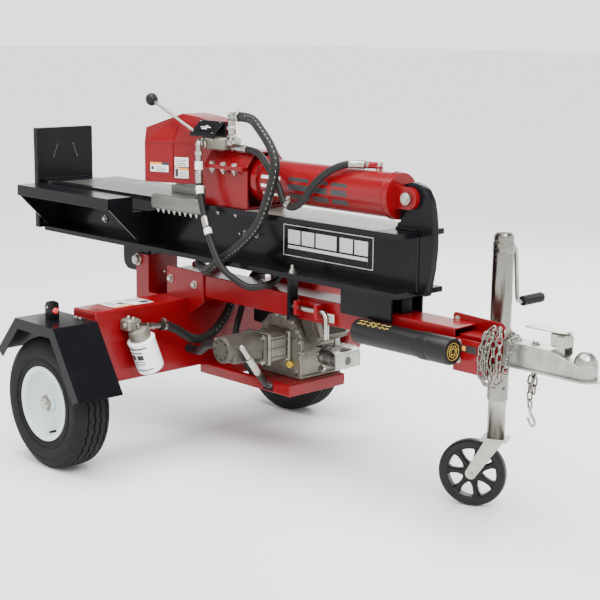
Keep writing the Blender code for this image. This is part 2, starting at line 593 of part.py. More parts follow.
# flared sheet guard around the wedge: walls, then the roof
ROW_X = [-0.042, 0.050, 0.128, 0.1967]
ROW_Y = [0.120, 0.082, 0.050, 0.050]
TOP = [(-0.036, 0.118, 1.004), (0.052, 0.046, 1.048), (0.128, 0.046, 1.042), (0.1967, 0.046, 1.030)]
bm = bmesh.new()
rings = []
for sign in (-1, 1):
    low = [bm.verts.new((x, sign * y, 0.835)) for x, y in zip(ROW_X, ROW_Y)]
    mid = [bm.verts.new((x, sign * y, 0.960)) for x, y in zip(ROW_X, ROW_Y)]
    top = [bm.verts.new((x, sign * y, z)) for x, y, z in TOP]
    for a, b in ((low, mid), (mid, top)):
        for i in range(3):
            quad = [a[i], a[i + 1], b[i + 1], b[i]]
            bm.faces.new(quad if sign < 0 else quad[::-1])
    rings.append(top)
for i in (1, 2):
    bm.faces.new([rings[0][i], rings[0][i + 1], rings[1][i + 1], rings[1][i]])
guard_mesh = bpy.data.meshes.new("wedge_guard")
bm.to_mesh(guard_mesh)
bm.free()
guard = add("wedge_guard", guard_mesh, look="red", smooth=False)
shell = guard.modifiers.new("Sheet", "SOLIDIFY")
shell.thickness = 0.0035
shell.offset = -1.0
shell.use_even_offset = True

# ---------------------------------------------------------------- control valve
valve = box("control_valve", (0.197, -0.0920, 0.9545), (0.300, -0.0475, 0.9900), "cast")
join(valve,
     box("valve_manifold", (0.217, -0.050, 0.9550), (0.261, -0.006, 0.980)),
     rod("work_port", (0.239, -0.014, 0.9339), (0.239, -0.014, 0.9600), 0.0105, sides=12),
     rod("detent_housing", (0.2870, -0.0690, 0.9740), (0.3190, -0.0690, 0.9800), 0.0152, sides=18),
     rod("detent_cap", (0.3100, -0.0690, 0.9783), (0.3460, -0.0690, 0.9850), 0.0115, sides=18),
     rod("spool_cap", (0.170, -0.078, 0.972), (0.200, -0.078, 0.972), 0.0110, sides=12),
     rod("return_riser", (0.297, -0.0600, 0.977), (0.297, -0.0600, 1.0600), 0.0118, sides=14),
     rod("return_elbow", (0.292, -0.060, 1.054), (0.322, -0.060, 1.054), 0.0130, sides=12),
     rod("pressure_port", (0.216, -0.085, 0.968), (0.216, -0.119, 0.968), 0.0110, sides=12),
     rod("pressure_elbow", (0.216, -0.117, 0.972), (0.216, -0.117, 0.918), 0.0095, sides=12),
     rod("cylinder_port", (0.284, -0.0565, 0.9610), (0.322, -0.0565, 0.9610), 0.0093, sides=12))
hood = [(-0.106, 0.9903), (-0.106, 0.9960), (-0.062, 1.0360), (-0.0565, 1.0360), (-0.0565, 0.9903)]
plate("valve_cover", hood + offset(hood, 0.0022)[::-1], 0.160, 0.268, "YZ", "black")

LEVER = (0.172, -0.080, 0.9975)
lever = bent_bar("valve_lever", [LEVER, (0.135, -0.080, 1.008), (-0.050, -0.080, 1.085)], 0.0050,
                 "zinc", origin=LEVER)
bm = bmesh.new()
bmesh.ops.create_uvsphere(bm, u_segments=12, v_segments=8, radius=0.020)
knob_mesh = bpy.data.meshes.new("lever_knob")
bm.to_mesh(knob_mesh)
bm.free()
knob = add("lever_knob_ball", knob_mesh, (-0.055, -0.080, 1.0875))
lever_eye = rod("lever_eye", (0.172, -0.0865, 0.9975), (0.172, -0.0735, 0.9975), 0.0070, sides=16)
join(lever, knob, lever_eye)

# ---------------------------------------------------------------- hoses
hose("return_hose",
     [(0.3223, -0.060, 1.054), (0.350, -0.060, 1.054), (0.400, -0.074, 1.051), (0.450, -0.092, 1.034),
      (0.526, -0.110, 0.978), (0.552, -0.120, 0.928), (0.528, -0.121, 0.845), (0.480, -0.118, 0.757),
      (0.404, -0.114, 0.690), (0.324, -0.112, 0.638), (0.262, -0.108, 0.600), (0.210, -0.086, 0.5840),
      (0.155, -0.055, 0.5830), (0.096, -0.016, 0.5850), (0.066, 0.032, 0.5855), (0.070, 0.076, 0.576),
      (0.098, 0.095, 0.532), (0.126, 0.094, 0.480), (0.142, 0.074, 0.438), (0.147, 0.025, 0.384),
      (0.145, -0.033, 0.353), (0.141, -0.085, 0.358), (0.137, -0.138, 0.391), (0.135, -0.178, 0.4109),
      (0.135, -0.2052, 0.41397)],
     0.0142, spacing=0.046)
hose("pressure_hose",
     [(0.216, -0.117, 0.9177), (0.216, -0.117, 0.892), (0.230, -0.123, 0.820), (0.263, -0.131, 0.745),
      (0.298, -0.137, 0.680), (0.342, -0.137, 0.618), (0.386, -0.122, 0.583), (0.430, -0.104, 0.564),
      (0.464, -0.076, 0.570), (0.464, -0.030, 0.580), (0.420, 0.020, 0.582), (0.340, 0.060, 0.580),
      (0.250, 0.077, 0.558), (0.215, 0.076, 0.490), (0.222, 0.044, 0.430), (0.240, 0.012, 0.375),
      (0.264, 0.004, 0.320), (0.290, 0.018, 0.280), (0.310, 0.026, 0.251), (0.336, 0.031, 0.2400),
      (0.364, 0.029, 0.2390), (0.388, 0.017, 0.2405), (0.405, -0.002, 0.2440), (0.418, -0.026, 0.2570),
      (0.430, -0.052, 0.2780), (0.441, -0.080, 0.3035),
      (0.446, -0.1007, 0.3290), (0.446, -0.1198, 0.35445)],
     0.0102, spacing=0.034)
hose("cylinder_hose",
     [(0.3223, -0.0565, 0.9610), (0.352, -0.0565, 0.9605), (0.400, -0.063, 0.958), (0.440, -0.072, 0.948),
      (0.484, -0.083, 0.920), (0.530, -0.088, 0.872), (0.556, -0.087, 0.828), (0.590, -0.086, 0.815),
      (0.630, -0.084, 0.838), (0.668, -0.080, 0.886), (0.710, -0.062, 0.926), (0.750, -0.038, 0.946),
      (0.776, -0.0195, 0.9475), (0.7997, -0.0122, 0.9475)],
     0.0104, spacing=0.034)
hose("suction_hose",
     [(0.3247, -0.120, 0.372), (0.300, -0.120, 0.372), (0.255, -0.114, 0.362), (0.200, -0.090, 0.334),
      (0.150, -0.062, 0.316), (0.115, -0.052, 0.312), (TANK_X1 + GAP, -0.052, 0.312)],
     0.0140, spacing=0.046)

# ---------------------------------------------------------------- beam rest and tilt latch
plate("beam_rest",
      [(-0.066, 0.535), (-0.060, 0.535), (-0.060, 0.6035), (-0.020, 0.6035), (-0.020, TONGUE_Z1 + GAP),
       (0.020, TONGUE_Z1 + GAP), (0.020, 0.6035), (0.060, 0.6035), (0.060, 0.535), (0.066, 0.535),
       (0.066, BEAM_Z0 - GAP), (-0.066, BEAM_Z0 - GAP)],
      0.765, 0.955, "YZ", "black")
guide = box("latch_guide", (0.598, -0.0543, 0.505), (0.692, -TONGUE_HALF - GAP, 0.547), "red")
join(guide,
     box("guide_rear", (0.598, -0.086, 0.505), (0.609, -0.050, 0.547)),
     box("guide_front", (0.680, -0.086, 0.505), (0.692, -0.050, 0.547)))
cut(guide, rod("guide_bore", (0.57, -0.068, 0.525), (0.72, -0.068, 0.525), 0.0085))
LATCH = (0.640, -0.068, 0.525)
bent_bar("latch_pin", [(0.566, -0.068, 0.525), (0.640, -0.068, 0.525), (0.702, -0.068, 0.525),
                       (0.713, -0.068, 0.516), (0.716, -0.070, 0.500), (0.718, -0.072, 0.450)],
         0.0078, "zinc", origin=LATCH)

# ---------------------------------------------------------------- manual canister
CAN_Y = -0.0868
canister = turned("manual_canister",
                  [(0.0, 1.193), (0.0335, 1.193), (0.0365, 1.189), (0.0365, 1.086), (0.0345, 1.084),
                   (0.0345, 0.858), (0.0315, 0.853), (0.0, 0.853)],
                  20, (0, CAN_Y, 0.503), "X", "plastic", closed=False)
for x in (0.905, 1.120):
    join(canister, box("canister_foot", (x - 0.015, -0.060, 0.490), (x + 0.015, -TONGUE_HALF - GAP, 0.516)))

# ---------------------------------------------------------------- hitch box, coupler and chains
hitch = box("hitch_box", (1.161, -0.0495, 0.444), (1.270, -0.0435, 0.531), "red")
join(hitch,
     box("hitch_floor", (1.161, -0.047, 0.444), (1.270, 0.047, 0.450)),
     box("hitch_far", (1.161, 0.0435, 0.444), (1.270, 0.0495, 0.531)),
     box("hitch_back", (1.161, -0.047, 0.446), (1.167, 0.047, 0.531)),
     plate("jack_plate", [(1.077, 0.470), (1.250, 0.470), (1.250, 0.556), (1.240, 0.566), (1.083, 0.573),
                          (1.077, 0.567)], 0.0484, 0.0544, "XZ"),
     box("coupler_tube", (1.163, -0.0275, 0.4835), (1.400, 0.0275, 0.5380)),
     box("tube_stand", (1.163, -0.010, 0.448), (1.265, 0.010, 0.486)),
     rod("jack_stub", (JACK_X, 0.0500, JACK_PIVOT_Z), (JACK_X, 0.1350, JACK_PIVOT_Z), 0.022))
cut(hitch, box("coupler_tube_hollow", (1.172, -0.0235, 0.4875), (1.45, 0.0235, 0.5340)))

coupler = plate("coupler",
                [(1.305, 0.4820), (1.305, 0.5450), (1.455, 0.5440), (1.500, 0.5300), (1.545, 0.5160),
                 (1.545, 0.4820)], -0.0315, 0.0315, "XZ", "zinc")
bevel(coupler, 0.004)
bm = bmesh.new()
bmesh.ops.create_uvsphere(bm, u_segments=20, v_segments=12, radius=0.0290)
dome_mesh = bpy.data.meshes.new("coupler_dome")
bm.to_mesh(dome_mesh)
bm.free()
BALL = (1.535, 0, 0.523)
dome = add("coupler_dome", dome_mesh, BALL)
for sign in (-1, 1):
    join(coupler, box("latch_ear", (1.4605, sign * 0.0176 - 0.002, 0.5300), (1.4835, sign * 0.0176 + 0.002, 0.5800)))
join(coupler, dome,
     rod("coupler_neck", (1.535, 0, 0.4835), (1.535, 0, 0.5235), 0.0308, sides=20),
     plate("coupler_lip", [(1.305, -0.0370), (1.480, -0.0400)] + arc(1.535, 0, 0.0455, -70, 70, 13)
           + [(1.480, 0.0400), (1.305, 0.0370)], 0.4812, 0.4865, "XY"))
bm = bmesh.new()
bmesh.ops.create_uvsphere(bm, u_segments=20, v_segments=12, radius=0.0256)
ball_mesh = bpy.data.meshes.new("ball_space")
bm.to_mesh(ball_mesh)
bm.free()
cut(coupler,
    box("coupler_channel", (1.25, -0.0282, 0.47), (1.440, 0.0282, 0.5386)),
    box("coupler_throat", (1.42, -0.0200, 0.46), (1.520, 0.0200, 0.5150)),
    add("ball_space", ball_mesh, BALL),
    rod("ball_way", (1.535, 0, 0.45), (1.535, 0, 0.523), 0.0254, sides=20))

LATCH_HINGE = (1.4720, 0, 0.5720)
c_latch = box("coupler_latch", (1.436, -0.015, 0.5490), (1.4870, 0.015, 0.5880), "zinc", origin=LATCH_HINGE)
bevel(c_latch, 0.004)
join(c_latch, box("latch_lever", (1.362, -0.019, 0.5870), (1.4850, 0.019, 0.5915)))
hose("chain_near",
     [(1.292, -0.046, 0.580), (1.276, -0.058, 0.556), (1.272, -0.060, 0.508), (1.276, -0.061, 0.452),
      (1.300, -0.062, 0.430), (1.330, -0.062, 0.448), (1.345, -0.060, 0.500), (1.348, -0.052, 0.545),
      (1.335, -0.030, 0.562), (1.312, -0.004, 0.566)],
     0.0055, "zinc", spacing=0.020)
hose("chain_far",
     [(1.372, 0.010, 0.4800), (1.374, 0.008, 0.470), (1.376, -0.004, 0.430), (1.378, -0.006, 0.395),
      (1.382, -0.004, 0.350)],
     0.0055, "zinc", spacing=0.020)

# ---------------------------------------------------------------- jack
jack = turned("jack_tube", [(0.0290, 0.778), (0.0290, 0.316), (0.0256, 0.316), (0.0256, 0.778)],
              20, (JACK_X, JACK_Y, 0), "Z", "zinc")
jack.location = Vector((JACK_X, JACK_Y, JACK_PIVOT_Z)) + ORIGIN_SHIFT
for vertex in jack.data.vertices:
    vertex.co.z -= JACK_PIVOT_Z
join(jack, rod("jack_swivel", (JACK_X, 0.1353, JACK_PIVOT_Z), (JACK_X, 0.1605, JACK_PIVOT_Z), 0.026),
     rod("crank_boss", (JACK_X, 0.2140, 0.740), (JACK_X, 0.2220, 0.740), 0.0110, sides=16))
cut(jack, rod("crank_bore", (JACK_X, 0.195, 0.740), (JACK_X, 0.23, 0.740), 0.0075, sides=16))

turned("jack_inner", [(0.0250, 0.600), (0.0250, 0.2080), (0.0215, 0.2080), (0.0215, 0.600)],
       20, (JACK_X, JACK_Y, 0), "Z", "zinc")

CRANK = (JACK_X, 0.232, 0.740)
GRIP_X, GRIP_Z = JACK_X + 0.012, 0.583
crank = bent_bar("jack_crank",
                 [(JACK_X, 0.198, 0.740), (JACK_X, 0.226, 0.740), (JACK_X, 0.235, 0.735),
                  (JACK_X + 0.002, 0.240, 0.722), (GRIP_X - 0.001, 0.243, 0.598), (GRIP_X, 0.246, 0.588),
                  (GRIP_X, 0.253, GRIP_Z), (GRIP_X, 0.270, GRIP_Z), (GRIP_X, 0.300, GRIP_Z),
                  (GRIP_X, 0.356, GRIP_Z)],
                 0.0060, "zinc", origin=CRANK)
turned("crank_grip", [(0.0135, 0.090), (0.0145, 0.082), (0.0145, 0.010), (0.0120, 0.0), (0.0070, 0.0),
                      (0.0070, 0.090)],
       14, (GRIP_X, 0.264, GRIP_Z), "Y", "plastic")

# caster fork, turned with its wheel behind the swivel
swivel = Matrix.Rotation(CASTER_TURN, 4, "Z")
arm = ([(-0.026, 0.1990), (0.026, 0.1990)] + arc(CASTER_TRAIL, CASTER_R, 0.016, 20, -160, 7))
fork = box("caster_fork", (-0.036, -0.030, 0.1985), (0.036, 0.030, 0.2077), "zinc", origin=(0, 0, 0))
join(fork,
     plate("fork_arm_a", arm, -0.0225, -0.0185, "XZ"),
     plate("fork_arm_b", arm, 0.0185, 0.0225, "XZ"),
     rod("caster_axle", (CASTER_TRAIL, -0.028, CASTER_R), (CASTER_TRAIL, 0.028, CASTER_R), 0.0060, sides=16))
for obj in [fork] + [m.object for m in fork.modifiers]:
    local = obj.location - ORIGIN_SHIFT
    obj.location = swivel @ local + Vector((JACK_X, JACK_Y, 0)) + ORIGIN_SHIFT
    obj.rotation_euler = (0, 0, CASTER_TURN)
hub = swivel @ Vector((CASTER_TRAIL, 0, 0)) + Vector((JACK_X, JACK_Y, CASTER_R))
steps = 28
rim = CASTER_R / math.cos(math.pi / steps)
caster_aim = swivel @ Matrix.Rotation(math.radians(90), 4, "X")
turned("caster_wheel",
       [(rim, 0.013), (rim, -0.013), (0.090, -0.017), (0.080, -0.017), (0.076, -0.006),
        (0.020, -0.006), (0.018, -0.017), (0.0065, -0.017), (0.0065, 0.017), (0.018, 0.017),
        (0.020, 0.006), (0.076, 0.006), (0.080, 0.017), (0.090, 0.017)],
       steps, hub, caster_aim, "rubber", phase=math.pi / 2 + math.pi / steps)
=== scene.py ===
"""Looks of the towable log splitter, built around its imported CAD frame."""

from math import cos, pi, radians, sin, sqrt, tau

import bmesh
import bpy
from mathutils import Matrix, Vector


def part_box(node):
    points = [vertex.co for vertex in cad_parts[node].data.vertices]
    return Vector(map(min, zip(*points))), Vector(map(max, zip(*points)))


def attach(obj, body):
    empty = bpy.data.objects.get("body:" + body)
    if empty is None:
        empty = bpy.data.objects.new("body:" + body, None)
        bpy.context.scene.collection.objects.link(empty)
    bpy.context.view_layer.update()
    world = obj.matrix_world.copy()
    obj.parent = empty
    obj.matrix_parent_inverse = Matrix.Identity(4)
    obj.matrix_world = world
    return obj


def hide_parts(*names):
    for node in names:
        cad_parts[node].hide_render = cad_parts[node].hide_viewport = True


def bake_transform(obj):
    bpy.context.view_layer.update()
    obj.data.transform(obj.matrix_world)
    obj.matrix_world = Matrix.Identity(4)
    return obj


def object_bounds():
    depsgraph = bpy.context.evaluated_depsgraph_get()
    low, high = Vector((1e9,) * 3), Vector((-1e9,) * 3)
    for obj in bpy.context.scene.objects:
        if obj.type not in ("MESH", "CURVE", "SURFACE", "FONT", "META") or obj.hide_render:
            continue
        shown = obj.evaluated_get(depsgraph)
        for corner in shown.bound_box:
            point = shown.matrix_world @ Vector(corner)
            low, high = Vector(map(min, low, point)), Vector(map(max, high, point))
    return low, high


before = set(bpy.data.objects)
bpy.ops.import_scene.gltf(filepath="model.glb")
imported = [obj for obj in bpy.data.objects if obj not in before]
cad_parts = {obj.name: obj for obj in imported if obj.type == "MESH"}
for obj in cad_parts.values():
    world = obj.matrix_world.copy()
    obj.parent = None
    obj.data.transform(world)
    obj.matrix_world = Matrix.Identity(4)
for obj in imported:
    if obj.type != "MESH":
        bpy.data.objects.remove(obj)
cad_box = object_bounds()
scene = bpy.context.scene

# Lengths are in millimetres, with the axle at X = 0; the tilt pin gives the shift to the frame.
MM = 0.001
PIN_LOW, PIN_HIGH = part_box("tilt_pin")
SHIFT = Vector(((PIN_LOW.x + PIN_HIGH.x) / 2 + 158 * MM, 0, 0))
X, Y, Z = Matrix.Identity(3)
TINY, WASHER = 0.0001, 1.4  # distance of corners taken as one, thickness of a washer


def at(x, y, z):
    """A place of the model in the frame, in metres."""
    return Vector((x * MM, y * MM, z * MM)) + SHIFT


# ---- camera
CAMERA_PLACE = at(3386, -2779.4, 1324)
CAMERA_AIM = Vector((-0.7017, 0.6845, -0.196))
CAMERA_ROLL = 0.0126
camera_data = bpy.data.cameras.new("camera")
camera_data.lens = 82.85
camera_data.sensor_width = 36.0
camera = bpy.data.objects.new("camera", camera_data)
scene.collection.objects.link(camera)
turn = CAMERA_AIM.to_track_quat("-Z", "Y").to_matrix().to_4x4() @ Matrix.Rotation(CAMERA_ROLL, 4, "Z")
camera.matrix_world = Matrix.Translation(CAMERA_PLACE) @ turn
scene.camera = camera


# ---- materials
def feed(tree, made, **inputs):
    """Give a node its inputs: a socket is linked, anything else is the value."""
    for name, value in inputs.items():
        socket = made.inputs[name.replace("_", " ")]
        if isinstance(value, bpy.types.NodeSocket):
            tree.links.new(value, socket)
        else:
            socket.default_value = value
    return made


def add_node(tree, kind, **inputs):
    return feed(tree, tree.nodes.new("ShaderNode" + kind), **inputs)


def noise(tree, coords, scale, detail, stretch):
    if stretch:
        coords = add_node(tree, "Mapping", Vector=coords, Scale=stretch).outputs["Vector"]
    return add_node(tree, "TexNoise", Vector=coords, Scale=scale, Detail=detail).outputs["Fac"]


def ramp(tree, source, stops):
    made = add_node(tree, "ValToRGB", Fac=source)
    for element, (place, colour) in zip(made.color_ramp.elements, stops):
        element.position = place
        element.color = (*colour, 1)
    return made.outputs["Color"]


def shade(colour, factor):
    return tuple(min(1, c * factor) for c in colour)


def material(name, colour, rough, rough_spread, metal, coat, gloss, mottle, grain, stretch=None):
    """Colour and roughness that vary a little over the surface, and a fine bump."""
    mat = bpy.data.materials.new(name)
    mat.use_nodes = True
    tree = mat.node_tree
    shader = tree.nodes["Principled BSDF"]
    coords = add_node(tree, "TexCoord").outputs["Object"]
    size, contrast = mottle
    patches = noise(tree, coords, size, 5, stretch)
    smudge = noise(tree, coords, size * 2.7, 4, stretch)
    spread = add_node(tree, "MapRange", Value=smudge, To_Min=max(0.02, rough - rough_spread),
                  To_Max=min(1, rough + rough_spread))
    stops = (0.3, shade(colour, 1 - contrast)), (0.7, shade(colour, 1 + contrast))
    feed(tree, shader, Base_Color=ramp(tree, patches, stops), Roughness=spread.outputs["Result"],
         Metallic=metal, Specular_IOR_Level=gloss)
    if coat:
        feed(tree, shader, Coat_Weight=coat, Coat_Roughness=0.08)
    if grain:
        fine = noise(tree, coords, grain[0], 2, stretch)
        bump = add_node(tree, "Bump", Height=fine, Strength=grain[1], Distance=0.6 * MM)
        feed(tree, shader, Normal=bump.outputs["Normal"])
    return mat


RED = (0.172, 0.0022, 0.0048)
# look: material, slot, colour, roughness and its spread, metal, coat, specular level, patches (scale,
# contrast), grain (scale, bump) and the stretch of its pattern
LOOKS, SLOTS = {}, {}
for look, name, slot, colour, rough, spread, metal, coat, gloss, mottle, grain, *stretch in (
    ("red", "red_paint", "red_paint", RED, 0.26, 0.025, 0, 0.12, 0.22, (9, 0.07), (260, 0.05)),
    ("cover", "red_cover", "red_cover", shade(RED, 0.94), 0.3, 0.03, 0, 0.12, 0.22, (7, 0.08), (190, 0.07)),
    ("black", "black_paint", "black_paint", (0.005, 0.0051, 0.0062), 0.24, 0.08, 0, 0.1, 0.09,
     (8, 0.25), (240, 0.06)),
    ("zinc", "zinc_plate", "zinc", (0.38, 0.37, 0.335), 0.3, 0.05, 1, 0, 0.5, (30, 0.1), (700, 0.05)),
    ("tube", "tube_zinc", "zinc", (0.215, 0.21, 0.182), 0.22, 0.06, 1, 0, 0.5, (16, 0.14), (600, 0.05)),
    ("galvanised", "galvanised", "zinc", (0.36, 0.36, 0.33), 0.34, 0.14, 1, 0, 0.5, (26, 0.24), (420, 0.12)),
    ("steel", "worn_steel", "bare_steel", (0.165, 0.164, 0.15), 0.38, 0.12, 0.9, 0, 0.5,
     (18, 0.18), (500, 0.16), (0.5, 3, 3)),
    # the same bare steel made lighter: a painted reflection of the bright studio on the beam's top
    ("beam_top", "beam_top", "bare_steel", (0.5, 0.49, 0.44), 0.34, 0.1, 0.75, 0, 0.5, (12, 0.1),
     (420, 0.1), (0.25, 3, 1)),
    ("chrome", "chrome_rod", "chrome_rod", (0.62, 0.62, 0.62), 0.1, 0.04, 1, 0, 0.5, (12, 0.04), None),
    ("cast", "cast_alloy", "cast_alloy", (0.2, 0.19, 0.155), 0.46, 0.12, 0.6, 0, 0.5, (34, 0.14), (620, 0.4)),
    ("iron", "cast_iron", "dark_iron", (0.07, 0.065, 0.052), 0.44, 0.12, 0.5, 0, 0.5, (30, 0.2), (560, 0.45)),
    ("hose", "rubber_hose", "rubber_hose", (0.0085, 0.008, 0.0072), 0.52, 0.08, 0, 0, 0.25,
     (30, 0.25), (1500, 0.22)),
    ("tyre", "tyre_rubber", "tyre_rubber", (0.0075, 0.0072, 0.0066), 0.66, 0.1, 0, 0, 0.14,
     (26, 0.25), (900, 0.28)),
    ("white", "wheel_white", "wheel_white", (0.56, 0.64, 0.65), 0.3, 0.08, 0, 0.2, 0.5,
     (12, 0.05), (300, 0.05)),
    ("can", "filter_white", "filter_white", (0.92, 0.92, 0.91), 0.28, 0.08, 0, 0.3, 0.5, (20, 0.03), None),
    ("plastic", "black_plastic", "black_plastic", (0.007, 0.007, 0.007), 0.4, 0.08, 0, 0, 0.22,
     (40, 0.2), (1100, 0.3)),
    ("label", "label_white", None, (0.74, 0.74, 0.72), 0.42, 0.08, 0, 0, 0.5, (60, 0.04), None),
    ("ink", "label_ink", None, (0.02, 0.02, 0.022), 0.45, 0.08, 0, 0, 0.5, (60, 0.2), None),
    ("amber", "label_amber", None, (0.78, 0.28, 0.03), 0.42, 0.08, 0, 0, 0.5, (60, 0.1), None),
    ("gold", "gold_ink", None, (0.62, 0.42, 0.06), 0.38, 0.08, 0.3, 0, 0.5, (90, 0.2), None),
    ("yellow", "yellow_plastic", None, (0.8, 0.52, 0.02), 0.36, 0.08, 0, 0, 0.5, (50, 0.08), None),
    ("lens", "red_lens", None, (0.62, 0.006, 0.012), 0.12, 0.08, 0, 0.8, 0.5, (90, 0.15), None),
    ("weld", "weld_black", "black_paint", (0.006, 0.006, 0.0058), 0.34, 0.08, 0, 0, 0.2,
     (90, 0.4), (300, 0.9)),
    ("floor", "studio_floor", None, (0.88, 0.88, 0.88), 0.6, 0.08, 0, 0, 0.5, (2, 0.01), (80, 0.02)),
):
    LOOKS[look] = material(name, colour, rough, spread, metal, coat, gloss, mottle, grain, *stretch)
    if slot:
        SLOTS[look] = slot

# ---- mesh tools
def frame_of(direction):
    """Matrix whose Z column points along the direction."""
    return Vector(direction).normalized().to_track_quat("Z", "Y").to_matrix()


class Shape:
    """Collects faces in one mesh; every method takes millimetres."""

    def __init__(self, look=None):
        self.bm = bmesh.new()
        self.looks = []
        if look:
            self.look(look)

    def look(self, name):
        if name not in self.looks:
            self.looks.append(name)
        self.index = self.looks.index(name)
        return self

    def face(self, verts):
        try:
            made = self.bm.faces.new(verts)
        except ValueError:  # the face is there already, or has a corner twice
            return
        made.material_index = self.index
        made.smooth = True

    def loft(self, rings, closed=True, caps=True):
        """Skin between rings of points that have the same count."""
        made = [[self.bm.verts.new(p) for p in ring] for ring in rings]
        count = len(rings[0])
        for a, b in zip(made, made[1:]):
            for i in range(count if closed else count - 1):
                j = (i + 1) % count
                self.face((a[i], a[j], b[j], b[i]))
        if caps:
            self.face(made[0][::-1])
            self.face(made[-1])
        return made

    def lathe(self, profile, centre, axis, steps=32, wobble=None):
        """Turn (radius, along) pairs about an axis through the centre."""
        base = frame_of(axis)
        made = []
        for k in range(steps):
            angle = tau * k / steps
            ring = []
            for n, (radius, along) in enumerate(profile):
                if wobble:
                    radius, along = wobble(n, radius, along, angle)
                local = Vector((radius * cos(angle), radius * sin(angle), along))
                ring.append(self.bm.verts.new(Vector(centre) + base @ local))
            made.append(ring)
        for a, b in zip(made, made[1:] + made[:1]):
            for i in range(len(profile) - 1):
                if (a[i].co - b[i].co).length < TINY:
                    self.face((a[i], a[i + 1], b[i + 1]))
                elif (a[i + 1].co - b[i + 1].co).length < TINY:
                    self.face((a[i], a[i + 1], b[i]))
                else:
                    self.face((a[i], a[i + 1], b[i + 1], b[i]))
        return self

    def rod(self, start, end, radius, radius2=None, steps=24, chamfer=0):
        """Round bar with chamfered ends, and a second radius at its end if it tapers."""
        start, end = Vector(start), Vector(end)
        length = (end - start).length
        r1, r2 = radius, radius if radius2 is None else radius2
        c = min(chamfer or 0.12 * min(r1, r2), length * 0.3)
        profile = [(0, 0), (r1 - c, 0), (r1, c), (r2, length - c), (r2 - c, length), (0, length)]
        return self.lathe(profile, start, end - start, steps)

    def box(self, low, high, chamfer=1.2):
        low, high = Vector(low), Vector(high)
        c = min(chamfer, min(high - low) * 0.45)
        rings = []
        for z, inset in ((low.z, c), (low.z + c, 0), (high.z - c, 0), (high.z, c)):
            x0, x1, y0, y1 = low.x + inset, high.x - inset, low.y + inset, high.y - inset
            rings.append([(x0 + c, y0, z), (x1 - c, y0, z), (x1, y0 + c, z), (x1, y1 - c, z),
                          (x1 - c, y1, z), (x0 + c, y1, z), (x0, y1 - c, z), (x0, y0 + c, z)])
        self.loft(rings)

    def slab(self, outline, low, high, chamfer=0, plane="XZ"):
        """Plate from an outline in a plane, between two levels along the third axis."""
        inner = inset_outline(outline, chamfer)
        rings = [(inner, low), (outline, low + chamfer), (outline, high - chamfer), (inner, high)]
        if not chamfer:
            rings = rings[1:3]
        self.loft([[(u, w, v) if plane == "XZ" else (u, v, w) for u, v in line] for line, w in rings])

    def ball(self, centre, radius, steps=20):
        half = steps // 2
        profile = [(radius * sin(pi * i / half), -radius * cos(pi * i / half)) for i in range(half + 1)]
        profile[0], profile[-1] = (0, -radius), (0, radius)
        return self.lathe(profile, centre, Z, steps)

    def tube(self, points, radius, steps=14, closed=False):
        """Round tube along the points, without twisting."""
        pts = [Vector(p) for p in points]
        count = len(pts)
        tangents = []
        for i in range(count):
            before = pts[(i - 1) % count] if closed else pts[max(i - 1, 0)]
            after = pts[(i + 1) % count] if closed else pts[min(i + 1, count - 1)]
            tangents.append((after - before).normalized())
        side = tangents[0].orthogonal().normalized()
        rings = []
        for i, (p, t) in enumerate(zip(pts, tangents)):
            side = (side - t * side.dot(t)).normalized()
            up = t.cross(side)
            r = radius(i / (count - 1)) if callable(radius) else radius
            rings.append([p + (side * cos(tau * k / steps) + up * sin(tau * k / steps)) * r
                          for k in range(steps)])
        made = self.loft(rings, caps=not closed)
        if closed:
            a, b = made[-1], made[0]
            best = min(range(steps), key=lambda s: sum((a[k].co - b[(k + s) % steps].co).length
                                                       for k in range(steps)))
            for k in range(steps):
                self.face((a[k], a[(k + 1) % steps], b[(k + 1 + best) % steps], b[(k + best) % steps]))

    def hexagon(self, centre, axis, across, height, spin=0):
        """Hex head or nut standing on the centre, with a chamfered top."""
        base = frame_of(axis)
        corner = across / sqrt(3)
        rings = []
        for radius, level in ((corner, 0), (corner, height * 0.8), (corner * 0.86, height)):
            angles = [tau * k / 6 + spin for k in range(6)]
            rings.append([Vector(centre) + base @ Vector((radius * cos(a), radius * sin(a), level))
                          for a in angles])
        self.loft(rings)

    def bolt(self, centre, axis, across, height, washer=True, stub=0):
        axis, centre = Vector(axis).normalized(), Vector(centre)
        if washer:
            self.rod(centre, centre + axis * WASHER, across * 0.8, steps=20)
            centre += axis * WASHER
        self.hexagon(centre, axis, across, height, spin=centre.x * 0.04 + centre.z * 0.017)
        if stub:
            self.rod(centre, centre + axis * (height + stub), across * 0.3, steps=12)

    def finish(self, name, body, replaces=(), sharp=35):
        """Make the object; a piece that runs between two bodies is given no body and stays unattached."""
        for vert in self.bm.verts:
            vert.co = at(*vert.co)
        bmesh.ops.remove_doubles(self.bm, verts=self.bm.verts, dist=0.005 * MM)
        bmesh.ops.recalc_face_normals(self.bm, faces=self.bm.faces)
        mesh = bpy.data.meshes.new(name)
        self.bm.to_mesh(mesh)
        self.bm.free()
        for look in self.looks:
            mesh.materials.append(LOOKS[look])
        mesh.set_sharp_from_angle(angle=radians(sharp))
        obj = bpy.data.objects.new(name, mesh)
        scene.collection.objects.link(obj)
        if body:
            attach(obj, body)
        if replaces:
            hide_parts(*replaces)
        return obj


def inset_outline(outline, amount):
    """The outline moved inward by the amount."""
    count = len(outline)
    area = sum(a[0] * b[1] - b[0] * a[1] for a, b in zip(outline, outline[1:] + outline[:1]))
    sign = 1.0 if area > 0 else -1.0
    result = []
    for i in range(count):
        p = Vector(outline[i])
        behind = (p - Vector(outline[i - 1])).normalized()
        ahead = (Vector(outline[(i + 1) % count]) - p).normalized()
        n1, n2 = Vector((-behind.y, behind.x)) * sign, Vector((-ahead.y, ahead.x)) * sign
        n = (n1 + n2).normalized()
        result.append(tuple(p + n * amount / max(n.dot(n1), 0.4)))
    return result


